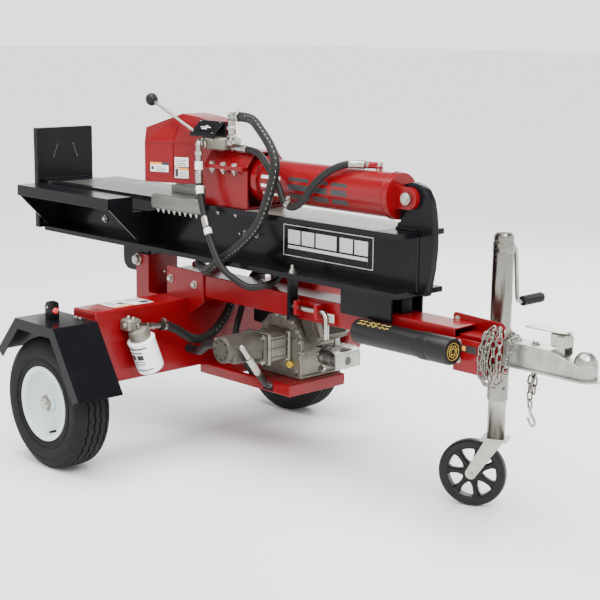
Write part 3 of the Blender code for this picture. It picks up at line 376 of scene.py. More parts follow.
def keep(node, look, width, angle=30):
    """A CAD node that stays in view: new finish, corners welded, edges rounded, shading evened."""
    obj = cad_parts[node]
    obj.data.materials.clear()
    obj.data.materials.append(LOOKS[look])
    obj.data.shade_smooth()
    weld = obj.modifiers.new("Weld", "WELD")
    weld.merge_threshold = 0.05 * MM
    if not width:
        return
    edges = obj.modifiers.new("Edges", "BEVEL")
    edges.width = width * MM
    edges.segments = 2
    edges.limit_method = "ANGLE"
    edges.angle_limit = radians(angle)
    edges.harden_normals = False
    even = obj.modifiers.new("Normals", "WEIGHTED_NORMAL")
    even.keep_sharp = False
    even.weight = 80


def arc(cx, cy, radius, start, end, count):
    step = (end - start) / (count - 1)
    return [(cx + radius * cos(radians(start + i * step)),
             cy + radius * sin(radians(start + i * step))) for i in range(count)]


def circle(cx, cy, radius, count, first=0):
    """Points all round a circle, from an angle in degrees on."""
    return arc(cx, cy, radius, first, first + 360 * (count - 1) / count, count)


SAMPLES = 20  # on each stretch of a route between two given points


def smooth_route(points, spacing):
    """Evenly spaced points on a smooth curve through the given points."""
    pts = [Vector(p) for p in points]
    ends = [pts[0] * 2 - pts[1]] + pts + [pts[-1] * 2 - pts[-2]]
    dense = []
    for i in range(1, len(ends) - 2):
        p0, p1, p2, p3 = ends[i - 1:i + 3]
        for k in range(SAMPLES):
            t = k / SAMPLES
            dense.append(0.5 * ((2 * p1) + (p2 - p0) * t + (2 * p0 - 5 * p1 + 4 * p2 - p3) * t ** 2
                                + (3 * p1 - p0 - 3 * p2 + p3) * t ** 3))
    dense.append(pts[-1])
    total = sum((b - a).length for a, b in zip(dense, dense[1:]))
    count = max(2, round(total / spacing))
    result, travelled, j = [dense[0]], 0, 0
    for i in range(1, count):
        want = total * i / count
        while travelled + (dense[j + 1] - dense[j]).length < want:
            travelled += (dense[j + 1] - dense[j]).length
            j += 1
        step = dense[j + 1] - dense[j]
        result.append(dense[j] + step * ((want - travelled) / step.length))
    result.append(dense[-1])
    return result


# ---- CAD nodes kept with new finishes
KEPT = {  # look, width of the rounded edges, and the angle in degrees from which an edge is rounded
    ("red", 1.2): "axle_near axle_far",
    ("red", 1.4): "stripper_base stripper_cap",
    ("red", 1.6): "hitch_box",
    ("red", 1.8): "oil_tank pivot_post tongue_saddle latch_guide",
    ("red", 2): "engine_tray",
    ("red", 3): "tongue",
    ("red", 0): "fuel_tank",
    ("red", 1.4, 45): "cylinder_barrel",
    ("red", 2, 40): "fan_shroud",
    ("cover", 1, 12): "wedge_guard",
    ("black", 0.8): "valve_cover",
    ("black", 1): "fender_near fender_far cradle_near cradle_far beam_rest",
    ("black", 3): "foot_plate beam",
    ("black", 3, 40): "cylinder_anchor",
    ("steel", 1, 40): "wedge",
    ("chrome", 0): "piston_rod",
    ("zinc", 0): "jack_inner latch_pin",
    ("zinc", 1): "tilt_pin cylinder_pin",
    ("zinc", 1.2): "caster_fork",
    ("galvanised", 1.2, 40): "coupler",
    ("plastic", 1.2): "filler_cap",
    ("plastic", 2): "air_cleaner",
}
for finish, nodes in KEPT.items():
    for node in nodes.split():
        keep(node, *finish)

# ---- tyres and wheels
TRACK, AXLE_Z = 489, 201
TREAD = [(101, 50), (112, 52.5), (119, 54), (123, 56.5), (127, 56), (150, 59.5), (164, 59.8), (176, 57),
         (185, 53), (190, 49), (196, 45), (199, 40), (199.8, 34.5), (194.5, 33.5), (194.5, 30), (200.5, 29),
         (200.8, 13), (195, 12), (195, 8), (201, 7)]
TREAD = TREAD + [(r, -a) for r, a in TREAD[::-1]]
GROOVE_POINTS = {i for i, (r, a) in enumerate(TREAD) if 194 < r and abs(a) < 35}


def zigzag(n, radius, along, angle):
    """The tread's grooves run to and fro across the tyre."""
    if n in GROOVE_POINTS:
        phase = (angle * 34 / tau) % 1
        along += 2.6 * (4 * abs(phase - 0.5) - 1)
    return radius, along


for side, sign in (("near", -1), ("far", 1)):
    hub = Vector((0, sign * TRACK, AXLE_Z))
    out = Y * sign
    tyre = Shape("tyre")
    tyre.lathe(TREAD + TREAD[:1], hub, out, 136, zigzag)
    for ring_radius in (135, 172):
        level = 58 if ring_radius < 150 else 57.6
        tyre.lathe([(ring_radius - 1.6, level - 2), (ring_radius - 0.8, level + 1.2),
                    (ring_radius + 0.8, level + 1.2), (ring_radius + 1.6, level - 2)],
                   hub, out, 96)
    for k in range(68):
        angle = tau * (k + 0.5) / 68
        for end in (-1, 1):
            low = Vector((cos(angle) * 187, end * 50, sin(angle) * 187))
            high = Vector((cos(angle) * 196.5, end * 44, sin(angle) * 196.5))
            tyre.rod(hub + low, hub + high, 1.8, 1.6, 6)
    tyre.finish("tyre_tread_" + side, side + "_wheel", ["tyre_" + side], sharp=28)

    wheel = Shape("white")
    dish = [(22.5, 30), (33, 29), (40, 25), (48, 18.5), (60, 16), (76, 17.5), (86, 21), (93, 28.5),
            (95.8, 38), (96.6, 48), (98.5, 54), (104, 55.6), (110, 56.8), (113, 56), (113.6, 53.5),
            (110, 52.8), (100, 52), (99.5, 30), (96, -30), (96.5, -50), (100, -54.5), (112, -56),
            (112, -58), (96, -57), (93, -48), (93, 10), (80, 12), (60, 11), (30, 18), (30, -30),
            (16.5, -30), (16.5, 30), (22.5, 30)]
    wheel.lathe(dish, hub, out, 72)
    for k in range(3):
        angle = tau * (k + 0.3) / 3
        spot = hub + Vector((cos(angle) * 70, sign * 16, sin(angle) * 70))
        wheel.lathe([(0, 2.2), (6, 2), (8.5, 0.4), (9, -1)], spot, out, 20)
    wheel.rod(hub + out * 14, hub + out * 42, 33.5, 30, 40, 3)
    wheel.look("zinc")
    wheel.rod(hub + out * 41, hub + out * 44.5, 27, 26.5, 36, 1)
    wheel.hexagon(hub + out * 44, out, 40, 11)
    wheel.rod(hub + out * 54, hub + out * 59, 12.5, 11, 24)
    wheel.look("plastic")
    valve_place = hub + Vector((30, sign * 44, -82))
    wheel.rod(valve_place - out * 12, valve_place + out * 10, 4.2, 3.4, 14)
    wheel.finish("wheel_disc_" + side, side + "_wheel", ["wheel_" + side])

    # marker lamp on the fender: black guard, red lens, screw
    lamp = Shape("plastic")
    y = sign * 498
    lamp.slab([(-26.2, 455.6), (2, 455.6), (2, 493), (-5, 504.5), (-17, 506.5),
               (-26.2, 496)], y - 15.8, y + 15.8, 3)
    lamp.look("lens")
    lamp.rod((1.5, y, 480), (12, y, 480), 13.5, 11, 28, 3)
    lamp.look("zinc")
    lamp.rod((-12, y - 16.2, 490), (-12, y - 15, 490), 4.2, steps=14)
    lamp.finish("marker_lamp_" + side, "frame")
    edge = Shape("zinc")
    for x in (30, 52):
        edge.bolt((x, sign * 440, 454.9), Z, 10, 4)
    edge.finish("fender_bolts_" + side, "frame")


# ---- labels
def label(name, body, corner, right, up, width, height, bars, ground="label", rim=None):
    """Plain plate with generic bars and blocks: (look, u0, v0, u1, v1) in shares of its size."""
    right, up = Vector(right).normalized(), Vector(up).normalized()
    out = right.cross(up).normalized()
    corner = Vector(corner)
    shape = Shape()
    panels = [(0.26, rim, -0.02, -0.035, 1.02, 1.035)] if rim else []
    panels += [(0.46, ground, 0, 0, 1, 1)] + [(0.66, *bar) for bar in bars]
    for level, look, u0, v0, u1, v1 in panels:
        shape.look(look)
        ring = [corner + right * width * u + up * height * v for u, v in
                ((u0, v0), (u1, v0), (u1, v1), (u0, v1))]
        shape.loft([[p + out * (level - 0.18) for p in ring], [p + out * level for p in ring]])
    shape.finish(name, body)


def lines(count, u0, u1, low=0.1, high=0.62, thick=0.35):
    """Rows of short bars in place of printed text."""
    rows = []
    pitch = (high - low) / count
    for i in range(count):
        v = low + pitch * i
        cut = u1 - (0.06 + 0.17 * ((i * 37) % 5) / 5) * (u1 - u0)
        rows.append(("ink", u0, v, cut, v + pitch * thick))
    return rows


# ---- guard: creases, weld seam and labels
guard = Shape("cover")
for sign in (-1, 1):
    guard.tube([(50, sign * 82.5, 862), (50, sign * 82.7, 958), (51.5, sign * 48, 1046)], 2.8, 8)
    guard.tube([(-40.5, sign * 120.2, 960), (50, sign * 82.5, 960.5), (127, sign * 50.5, 960.5),
                (195, sign * 50.5, 960.5)], 2.2, 8)
guard.finish("guard_seams", "beam_unit")
SLANT, LOW_SLANT = (92, 38, 0), (78, 32, 0)  # the guard's two panels
label("guard_label_left", "beam_unit", (-22.5, -113.2, 868), SLANT, Z, 64, 29,
      [("amber", 0, 0.74, 0.62, 1), ("ink", 0.62, 0.74, 1, 1)] + lines(4, 0.26, 0.96)
      + [("ink", 0.05, 0.2, 0.2, 0.56)], rim="ink")
label("guard_label_upper", "beam_unit", (57, -80.2, 887), LOW_SLANT, Z, 48, 29,
      lines(4, 0.08, 0.92, 0.12, 0.86), rim="ink")
label("guard_label_lower", "beam_unit", (57, -80.2, 852), LOW_SLANT, Z, 48, 32,
      [("amber", 0.3, 0.76, 1, 1), ("ink", 0.04, 0.12, 0.26, 0.9)] + lines(3, 0.36, 0.95, 0.1, 0.66),
      rim="ink")
label("tank_label_a", "frame", (-17, -175, 473.8), -Y, X, 75, 84,
      [("ink", 0.06, 0.55, 0.5, 0.9)] + lines(5, 0.08, 0.92, 0.1, 0.48), rim="ink")
label("tank_label_b", "frame", (-17, -256, 473.8), -Y, X, 68, 84,
      [("amber", 0, 0.8, 1, 1), ("ink", 0.08, 0.3, 0.36, 0.7)] + lines(5, 0.46, 0.94, 0.1, 0.72), rim="ink")
label("tongue_label", "frame", (699, -48.1, 496), X, Z, 26, 24,
      lines(3, 0.12, 0.9, 0.16, 0.86, 0.4), rim="ink")
label("hitch_label", "frame", (1187, -49.7, 498), X, Z, 50, 19,
      [("amber", 0.06, 0.18, 0.3, 0.82)] + lines(3, 0.38, 0.94, 0.18, 0.86), ground="ink")
label("beam_frame_line", "beam_unit", (470, -5.2, 656), X, Z, 360, 92,
      [("black", 0.006, 0.022, 0.994, 0.978)])
label("beam_bars", "beam_unit", (490, -6, 668), X, Z, 320, 66,
      [("black", u0, v0, u1, v1) for u0, v0, u1, v1 in (
          (0, 0, 1, 0.16), (0, 0.3, 1, 0.38), (0.62, 0.38, 0.66, 1), (0.16, 0.38, 0.18, 1),
          (0.34, 0.38, 0.36, 1), (0.82, 0.38, 0.84, 1))])

# bare worn top of the beam, where logs and the slide rub the paint away; the stretch under the cylinder is
# the same bare steel made lighter, a painted reflection of the bright studio
worn = Shape()
for look, x0, x1, y0, y1 in (("steel", -560, -30, -78, 78), ("beam_top", 395, 912, -92.5, 92.5)):
    worn.look(look)
    worn.slab([(x0, y0), (x0 + 30, y0 + 8), (x1, y0), (x1, y1), (x0 + 30, y1 - 8), (x0, y1)],
              784.9, 785.15, plane="XY")
worn.finish("beam_worn_top", "beam_unit")
scratches = Shape("steel")
for y, lean in ((-50, 16), (48, -16)):
    for k in range(6):
        spot = Vector((-643.7, y + lean * k / 5, 862 + 42 * k / 5))
        scratches.rod(spot, spot + Vector((0.4, 0, 0)), 2.2, steps=10)
scratches.finish("foot_marks", "beam_unit")

# the cylinder carries plain blocks where its printed name would be
marks = Shape()
CYLINDER_Z = 872
BANDS = (
    ("label", ((430, 466), (474, 510)), ((-38, -29), (-14, -5), (10, 19))),
    ("ink", ((545, 625), (640, 700), (715, 775)), ((-38, -22), (-12, 4), (12, 22))),
)
for look, spans, sectors in BANDS:
    marks.look(look)
    for x0, x1 in spans:
        for low, high in sectors:
            rings = []
            for i in range(7):
                a = radians(low + (high - low) * i / 6)
                rings.append([(x, -r * cos(a), CYLINDER_Z + r * sin(a)) for x, r in
                              ((x0, 61.4), (x1, 61.4), (x1, 61.75), (x0, 61.75))])
            marks.loft(rings)
marks.finish("cylinder_marks", "beam_unit")

# ---- slide block with its bolts
slide = Shape("steel")
for sign in (-1, 1):
    low, high = sorted((sign * 112, sign * 94.7))
    slide.slab([(-16, 753.5), (-24, 763), (-24, 790), (-12, 800), (208, 800), (220, 790), (220, 764),
                (212, 754.5)], low, high, 3)
    low, high = sorted((sign * 30, sign * 109))
    slide.box((-22, low, 753.8), (154, high, 768.6), 2)
slide.box((-22, -100, 785.5), (154, 100, 799.8), 2)
slide.look("zinc")
for sign in (-1, 1):
    for k in range(8):
        slide.bolt((4 + 26.5 * k, sign * 103, 754), -Z, 11, 6, stub=5)
slide.finish("slide_shoe", "ram", ["slide_block"])

# ---- bolts, washers and welds on the beam and cylinder
hard = Shape("zinc")
for sign in (-1, 1):
    for x in (245, 295, 345):
        hard.bolt((x, sign * 88.5, 911.3), Z, 15, 6.5)
        hard.bolt((x, sign * 88.5, 899), -Z, 15, 6.5, stub=6)
    for x in (300, 352):
        hard.bolt((x, sign * 5, 700), Y * sign, 11, 6, stub=16)
    for x in (250, 330):
        hard.bolt((x, sign * 70, 770), -Z, 10, 5.5, stub=6)
hard.bolt((582, -76, 625), Z, 17, 9, stub=12)
for sign in (-1, 1):
    hard.bolt((-400, sign * 13, 668), Y * sign, 15, 7)
hard.finish("beam_bolts", "beam_unit")

ties = Shape("zinc")
for sign in (-1, 1):
    for x, z in ((2, 525), (120, 521)):
        ties.bolt((x, sign * 55, z), Y * sign, 16, 8)
    ties.bolt((-20, sign * 60, 545), Y * sign, 6, 3, washer=False)
    ties.bolt((-158, sign * 64, 566), Y * sign, 23, 12)
for x, z in ((1178, 475), (1178, 520), (1255, 520)):
    ties.bolt((x, -49.5, z), -Y, 12, 5.5)
for x, z in ((1092, 556), (1092, 483), (1236, 550)):
    ties.bolt((x, 48.4, z), -Y, 11, 5)
for x in (1330, 1385):
    ties.bolt((x, 0, 544.8), Z, 15, 6)
ties.finish("frame_bolts", "frame")


def weld(name, body, look, *routes, radius=2.4):
    """Rippled bead of weld along each route."""
    shape = Shape(look)
    for route in routes:
        pts = smooth_route(route, 2.2) if len(route) > 2 else [
            Vector(route[0]).lerp(Vector(route[1]), i / 60) for i in range(61)]
        shape.tube([p + Vector((0, 0, 0.3 * sin(i * 1.7))) for i, p in enumerate(pts)],
                   lambda t: radius * (0.85 + 0.3 * abs(sin(t * len(pts) * 0.9))), 8)
    shape.finish(name, body, sharp=60)


def hoop(x, radius):
    """Places round the cylinder."""
    return [(x, y, z) for y, z in arc(0, CYLINDER_Z, radius, 0, 360, 25)]


weld("foot_welds", "beam_unit", "weld", [(-643, -88, 787), (-643, 88, 787)],
     [(-645, -94, 630), (-645, -94, 770)])
weld("anchor_welds", "beam_unit", "weld",
     *[[(919, s * 14, 787.5), (955, s * 15, 788), (996, s * 14.5, 787.5)] for s in (-1, 1)],
     *[[(999, s * 13.5, 620), (999, s * 13.5, 770)] for s in (-1, 1)], radius=3.4)
weld("cylinder_welds", "beam_unit", "red", hoop(905, 63.5), hoop(206, 60), radius=2.2)
weld("frame_welds", "frame", "red", [(-31, -61, 262), (-31, -61, 462)],
     [(85.5, -56, 430), (104, -56, 431), (158, -56, 466)], [(-14, -55, 474.5), (84, -55, 474.5)],
     [(86, -6, 262), (86, 230, 262)], [(-104, -61, 474.5), (-104, -61, 585)], radius=2)
weld("cradle_welds", "beam_unit", "black",
     *[[(x, -12, 627.5), (x, -84, 626.8)] for x in (-622, -122)], radius=2)

# ---- control valve
valve = Shape("cast")
valve.box((197, -92, 954.5), (300, -47.5, 989.5), 3.5)
valve.box((217, -50, 955), (261, -6, 980), 3)
valve.rod((239, -14, 933.9), (239, -14, 960), 10.5)
for x in (212, 240, 268):
    valve.rod((x, -70, 956), (x, -70, 952), 13)
valve.look("zinc")
valve.rod((290, -69, 974.5), (319, -69, 980), 15.2, steps=28)
valve.rod((318, -69, 979.8), (340, -69, 983.8), 11.8, steps=24)
valve.hexagon((338, -69, 983.4), (1, 0, 0.19), 15, 7.5)
valve.rod((170, -78, 972), (200, -78, 972), 10.5)
valve.hexagon((297, -60, 989.5), Z, 22.5, 10)
valve.rod((297, -60, 999), (297, -60, 1042), 9.5)
valve.hexagon((297, -60, 1014), Z, 22, 11)
valve.ball((297, -60, 1053), 12.8, 18)
valve.hexagon((303, -60, 1054), X, 23, 9)
valve.rod((311, -60, 1054), (322, -60, 1054), 12.8)
valve.hexagon((216, -92, 968), -Y, 21, 9)
valve.rod((216, -100, 968), (216, -111, 968), 9.2)
valve.ball((216, -117, 968), 10.8, 18)
valve.rod((216, -117, 964), (216, -117, 948), 8.6)
valve.hexagon((216, -117, 948), -Z, 20, 12)
valve.rod((216, -117, 937), (216, -117, 918), 9.5)
valve.hexagon((300, -56.5, 961), X, 18, 8)
valve.rod((308, -56.5, 961), (322, -56.5, 961), 8)
for x in (206, 250, 290):
    valve.bolt((x, -92, 982), -Y, 8, 4, washer=False)
for x in (225, 252):
    valve.bolt((x, -26, 980), Z, 9, 5)
valve.finish("valve_casting", "beam_unit", ["control_valve"])

plate = Shape("zinc")
for x in (170, 258):
    for t in (0.14, 0.88):
        spot = Vector((x, -106 + 44 * t, 996 + 40 * t)) + Vector((0, -1.4, 1.7))
        plate.rod(spot, spot + Vector((0, -1, 1.1)), 2.8, steps=12)
plate.finish("cover_screws", "beam_unit")
label("cover_mark", "beam_unit", (186, -95.5, 1007.5), X, (0, 0.74, 0.67), 50, 26,
      [("label", 0.05, 0.5, 0.95, 0.62), ("label", 0.2, 0.26, 0.7, 0.36), ("label", 0.4, 0.74, 0.62, 0.84)],
      ground="black")

# ---- hoses: rubber, ferrules, printed line
HOSES = {
    "return_hose": (14.1, [
        (322.3, -60, 1054), (350, -60, 1054), (400, -74, 1051), (450, -92, 1034), (526, -110, 978),
        (552, -120, 928), (528, -121, 845), (480, -118, 757), (404, -114, 690), (324, -112, 638),
        (262, -108, 600), (210, -86, 584), (155, -55, 583), (96, -16, 585), (66, 32, 585.5), (70, 76, 576),
        (98, 95, 532), (126, 94, 480), (142, 74, 438), (147, 25, 384), (145, -33, 353), (141, -85, 358),
        (137, -138, 391), (135, -178, 410.9), (135, -205.2, 413.97)]),
    "pressure_hose": (10.1, [
        (216, -117, 917.7), (216, -117, 892), (230, -123, 820), (263, -131, 745), (298, -137, 680),
        (342, -137, 618), (386, -122, 583), (430, -104, 564), (464, -76, 570), (464, -30, 580),
        (420, 20, 582), (340, 60, 580), (250, 77, 558), (215, 76, 490), (222, 44, 430), (240, 12, 375),
        (264, 4, 320), (290, 18, 280), (310, 26, 251), (336, 31, 240), (364, 29, 239), (388, 17, 240.5),
        (405, -2, 244), (418, -26, 257), (430, -52, 278), (441, -80, 303.5), (446, -100.7, 329),
        (446, -119.8, 354.45)]),
    "cylinder_hose": (10.3, [
        (322.3, -56.5, 961), (352, -56.5, 960.5), (400, -63, 958), (440, -72, 948), (484, -83, 920),
        (530, -88, 872), (556, -87, 828), (590, -86, 815), (630, -84, 838), (668, -80, 886),
        (710, -62, 926), (750, -38, 946), (776, -19.5, 947.5), (799.7, -12.2, 947.5)]),
    "suction_hose": (13.8, [
        (324.7, -120, 372), (300, -120, 372), (255, -114, 362), (200, -90, 334), (150, -62, 316),
        (115, -52, 312), (85.3, -52, 312)]),
}
# ferrules as (distance from the start, or from the end if negative, length, radius)
FERRULES = {
    "return_hose": [(0, 16, 15.2, "zinc")],
    "pressure_hose": [(0, 26, 12.1, "label"), (28, 40, 11.8, "zinc"),
                      (72, 28, 12.2, "label"), (168, 36, 11.8, "zinc"),
                      (205, 24, 12.2, "label"), (-68, 68, 11.6, "galvanised")],
    "cylinder_hose": [(0, 48, 11.6, "galvanised"), (-52, 52, 11.6, "galvanised")],
    "suction_hose": [],
}
PRINT_SIDE = Vector((0.85, -0.52, 0.1))  # where the return hose's dashed line faces
# hoses that run over the tilting beam's hinge, and the stretch that bends when it tilts
CROSSING = {"return_hose": ((100, 80, 600), (100, 80, 430)),
            "pressure_hose": ((230, 60, 563), (230, 60, 372))}


def stretch_of(route, start, length):
    """The part of a route from a distance along it (negative: from its end) on."""
    total, result, travelled = sum((b - a).length for a, b in zip(route, route[1:])), [], 0
    low = start if start >= 0 else total + start
    for a, b in zip(route, route[1:]):
        step = (b - a).length
        for share in (0, 0.5):
            here = travelled + step * share
            if low - 0.001 <= here <= low + length + 0.001:
                result.append(a.lerp(b, share))
        travelled += step
    if low + length >= total - 0.1:
        result.append(route[-1])
    return result


def crimp(t):
    """A ferrule's rings, and its narrower ends."""
    return 0.9 if t < 0.06 or t > 0.94 else 1 + 0.035 * sin(t * 24)


for name, (radius, points) in HOSES.items():
    route = [Vector(points[0])] + smooth_route(points[1:-1], 8) + [Vector(points[-1])]
    route = [route[0].lerp(route[1], i / 5) for i in range(5)] + route[1:-1] + [
        route[-2].lerp(route[-1], i / 5) for i in range(6)][1:]
    body = Shape("hose")
    body.tube(route, radius, 20)
    for start, length, ferrule_radius, look in FERRULES[name]:
        body.look(look)
        part = stretch_of(route, start, length)
        if len(part) > 2:
            body.tube(part, lambda t: ferrule_radius * crimp(t), 20)
    if name == "return_hose":
        body.look("label")
        for k in range(9, len(route) - 30, 2):
            a, b = route[k], route[k + 1]
            along = (b - a).normalized()
            side = PRINT_SIDE
            side = (side - along * side.dot(along)).normalized()
            across = along.cross(side) * 0.4
            middle = a.lerp(b, 0.55)
            ring = [p + side * radius + shift for p, shift in
                    ((a, -across), (middle, -across), (middle, across), (a, across))]
            body.loft([[p - side * 0.6 for p in ring], [p + side * 0.2 for p in ring]])
    rigid_body = "frame" if name == "suction_hose" else "beam_unit"
    obj = body.finish(name + "_run", None if name in CROSSING else rigid_body, [name])
    if name in CROSSING:
        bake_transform(obj)
    path = [at(*p) for p in route]
    length = sum((b - a).length for a, b in zip(path, path[1:]))


def clamp(shape, centre, axis, radius):
    """Worm-drive band with its screw housing."""
    axis, centre = Vector(axis).normalized(), Vector(centre)
    shape.lathe([(radius, -5), (radius + 1.2, -5), (radius + 1.2, 5), (radius, 5), (radius, -5)],
                centre, axis, 36)
    up = axis.cross(Z).cross(axis).normalized()
    side = axis.cross(up)
    spot = centre + up * (radius + 4)
    shape.rod(spot - side * 8, spot + side * 8, 4.2, steps=14)
    shape.hexagon(spot + side * 8, side, 6.5, 4)


clips = Shape("zinc")
clamp(clips, (135.2, -190, 412.4), (0, -1, 0.12), 14.3)
clamp(clips, (308, -120, 372), X, 14.2)
clips.finish("hose_clamps", "frame")
loop = Shape("zinc")
loop.lathe([(10.6, -6.5), (12, -6.5), (12, 6.5), (10.6, 6.5), (10.6, -6.5)],
           (572, -86.6, 819), (0.95, 0, -0.3), 32)
loop.slab([(566, 828), (580, 828), (580, 846), (566, 846)], -87.5, -85.5)
loop.bolt((573, -87.5, 838), -Y, 9, 4.5)
loop.finish("hose_clip", "beam_unit")
port = Shape("zinc")
port.rod((840, 0, 933), (840, 0, 945), 9)
port.hexagon((840, 0, 932.5), Z, 20, 8)
port.ball((841, 0, 949), 10.5, 18)
port.rod((838, -0.7, 947.5), (800, -12.1, 947.5), 8.8)
port.hexagon((812, -8.5, 947.5), (-0.957, -0.29, 0), 19.5, 10)
port.finish("rear_port_fitting", "beam_unit")

# ---- valve lever
handle = Shape("zinc")
handle.tube(smooth_route([(172, -80, 997.5), (135, -80, 1008), (-46, -80, 1083.3)], 6), 4.9, 16)
handle.rod((172, -86.5, 997.5), (172, -73.5, 997.5), 7)
handle.hexagon((-32, -80, 1077.6), (0.92, 0, -0.385), 12.5, 5)
handle.look("plastic").ball((-55, -80, 1087.5), 19.8, 32)
handle.finish("lever_with_knob", "lever", ["valve_lever"])

# ---- hydraulic pump and its adapter
PUMP_X, PUMP_Z = 390, 378
pump = Shape("iron")
pump.rod((PUMP_X, -178, PUMP_Z), (PUMP_X, -45, PUMP_Z), 40.5, steps=48, chamfer=2)
pump.slab(arc(PUMP_X, PUMP_Z, 36, 0, 345, 24), -180, -175, 1.5)
pump.box((351.5, -160, 336.5), (428.5, -45, 380), 6)
pump.box((338, -45, 316), (434, -30.5, 410), 5)
pump.rod((325, -120, 372), (360, -120, 372), 17, steps=28)
pump.look("plastic")
for x, z in circle(PUMP_X, PUMP_Z, 28.5, 8):
    pump.rod((x, -180.2, z), (x, -181.6, z), 3.6, steps=14)
pump.look("zinc")
for x, z in ((347, 326), (425, 326), (347, 400), (425, 400)):
    pump.bolt((x, -45, z), -Y, 12, 6.5)
pump.hexagon((446, -147, 390), (-0.3, 0.5, -0.8), 16, 6)
pump.rod((428, -142, 388), (444, -145, 390), 9)
pump.ball((446, -146.5, 390), 10, 18)
pump.rod((446, -145.5, 388.7), (446, -120, 354.7), 8.5)
pump.finish("pump_casting", "frame", ["hydraulic_pump"])

bell = Shape("cast")
bell.box((335, -30, 312), (437, -18, 412), 4)
bell.box((339, -19, 317), (433, 54, 408), 10)
bell.box((335, 52, 312), (437, 64.5, 412), 4)
for z in (335, 362, 389):
    bell.rod((434.5, -16, z), (434.5, 50, z), 2.4, steps=10)
bell.look("zinc")
for x, z in ((344, 322), (428, 322), (344, 402), (428, 402)):
    bell.bolt((x, 52, z), -Y, 10, 5.5)
bell.finish("adapter_casting", "frame", ["pump_adapter"])

# ---- engine
CRANK_X, CRANK_Z, FAN_Z = 385, 362, 385
TILT = radians(25)
ALONG = Vector((cos(TILT), 0, sin(TILT)))
ACROSS = Vector((-sin(TILT), 0, cos(TILT)))


def crank_point(a, b):
    """A place along and across the leaning cylinder, seen from the side."""
    p = ALONG * a + ACROSS * b
    return (CRANK_X + p.x, CRANK_Z + p.z)


def crank_plate(a0, a1, b0, b1):
    return [crank_point(a, b) for a, b in ((a0, b0), (a1, b0), (a1, b1), (a0, b1))]


block = Shape("cast")
case = ([(300, 262.3), (475, 262.3), (478, 292)] + arc(CRANK_X, CRANK_Z, 94.5, -20, 200, 28)
        + [(296, 292)])
block.slab(case, 65, 74, 2)
block.slab(inset_outline(case, 5), 73.5, 244, 6)
COVER_BOLTS = arc(CRANK_X, CRANK_Z, 88.5, -10, 188, 10)
for x, z in COVER_BOLTS:
    block.rod((x, 63, z), (x, 76, z), 8.8, steps=16)
for (x0, z0), (x1, z1) in zip(arc(CRANK_X, CRANK_Z, 60, 20, 160, 6), arc(CRANK_X, CRANK_Z, 86, 20, 160, 6)):
    block.tube([(x0, 64.5, z0), (x1, 64.5, z1)], 3, 8)
block.box((298, 64, 262.3), (477, 244, 272), 2)
block.look("zinc")
for x, z in COVER_BOLTS:
    block.bolt((x, 63, z), -Y, 9, 5)
for x, z in ((318, 283), (455, 283)):
    block.bolt((x, 64, z), -Y, 12, 6)
block.bolt((477.5, 160, 283), X, 13, 6)
block.look("yellow")
block.rod((440, 64, 306), (440, 50, 306), 8, 10.5, 20)
block.box((429, 46, 303), (451, 51, 309), 2)
block.finish("crankcase", "frame", ["engine_block"])

head = Shape("cast")
head.slab(crank_plate(95.5, 160, -26, 46), 98, 204, 3)
for k in range(7):
    a = 99 + 6.6 * k
    head.slab(crank_plate(a, a + 1.8, -35.5, 55.5), 86.5, 215.5)
head.slab(crank_plate(146, 160, -29, 49), 92, 210, 4)
head.look("zinc")
for b in (-20, 40):
    for y in (102, 200):
        x, z = crank_point(160, b)
        head.bolt((x, y, z), ALONG, 11, 5)
head.finish("finned_head", "frame", ["engine_head"])

shield = Shape("steel")
shield.loft([[(x + (548 - x) * inset, 150.5 + 51.5 * cos(a) * (1 - inset * 0.5),
               335 + 31.5 * sin(a) * (1 - inset * 0.5))
              for a in [tau * i / 36 for i in range(36)]]
             for x, inset in ((504.5, 0.2), (506, 0.08), (512, 0), (530, 0), (531, 0.03), (534, 0.03),
                              (535, 0), (560, 0), (561, 0.03), (564, 0.03), (565, 0), (584, 0), (590, 0.1),
                              (591.5, 0.25))])
shield.look("galvanised")
shield.rod((545, 150, 360), (545, 150, 394), 8.5)
sheet = [(502, 364), (505, 367), (570, 367), (590, 358), (593.5, 340), (593.5, 308), (592, 308),
         (592, 339.5), (588.8, 356.6), (569.5, 365.5), (506, 365.5), (503, 363)]
shield.slab(sheet, 96.2, 204)
for x in (520, 540, 560):
    shield.tube([(x, 112, 367.2), (x, 190, 367.2)], 2.2, 8)
shield.bolt((516, 97.5, 348), -Y, 9, 4.5)
shield.look("iron").rod((593, 150, 330), (594, 150, 330), 13, steps=20)
shield.finish("muffler_with_shield", "frame", ["muffler"])

trim = Shape("zinc")
for x, z in circle(CRANK_X, FAN_Z, 102, 4, 45):
    trim.bolt((x, 325, z), Y, 9, 4.5)
trim.look("plastic")
for (x0, z0), (x1, z1) in zip(circle(CRANK_X, FAN_Z, 30, 14), circle(CRANK_X, FAN_Z, 60, 14)):
    trim.tube([(x0, 352.4, z0), (x1, 352.4, z1)], 2.2, 8)
trim.box((440, 300, 452), (458, 322, 474), 3)
trim.finish("fan_cover_trim", "frame")

# ---- oil filter
CAN_TOP = Vector((135, -280, 387.5))
CAN_AXIS = (Vector((135, -238.5, 282)) - CAN_TOP).normalized()
CAN_LENGTH = 113.4

can = Shape("can")
can.lathe([(0, 0.6), (30, 0.6), (40, 1), (43.2, 4), (43.2, 8.5), (41.8, 10), (41.8, CAN_LENGTH - 20)]
          + [(30 + 11.8 * cos(radians(k * 15)),
              CAN_LENGTH - 15 + 14 * sin(radians(k * 15))) for k in range(6)]
          + [(26, CAN_LENGTH - 3.5), (0, CAN_LENGTH - 3.5)], CAN_TOP, CAN_AXIS, 64)
can.look("ink")
FRONT = Vector((-0.05, -0.92, 0))
FACING = (FRONT - CAN_AXIS * FRONT.dot(CAN_AXIS)).normalized()
BESIDE = CAN_AXIS.cross(FACING)
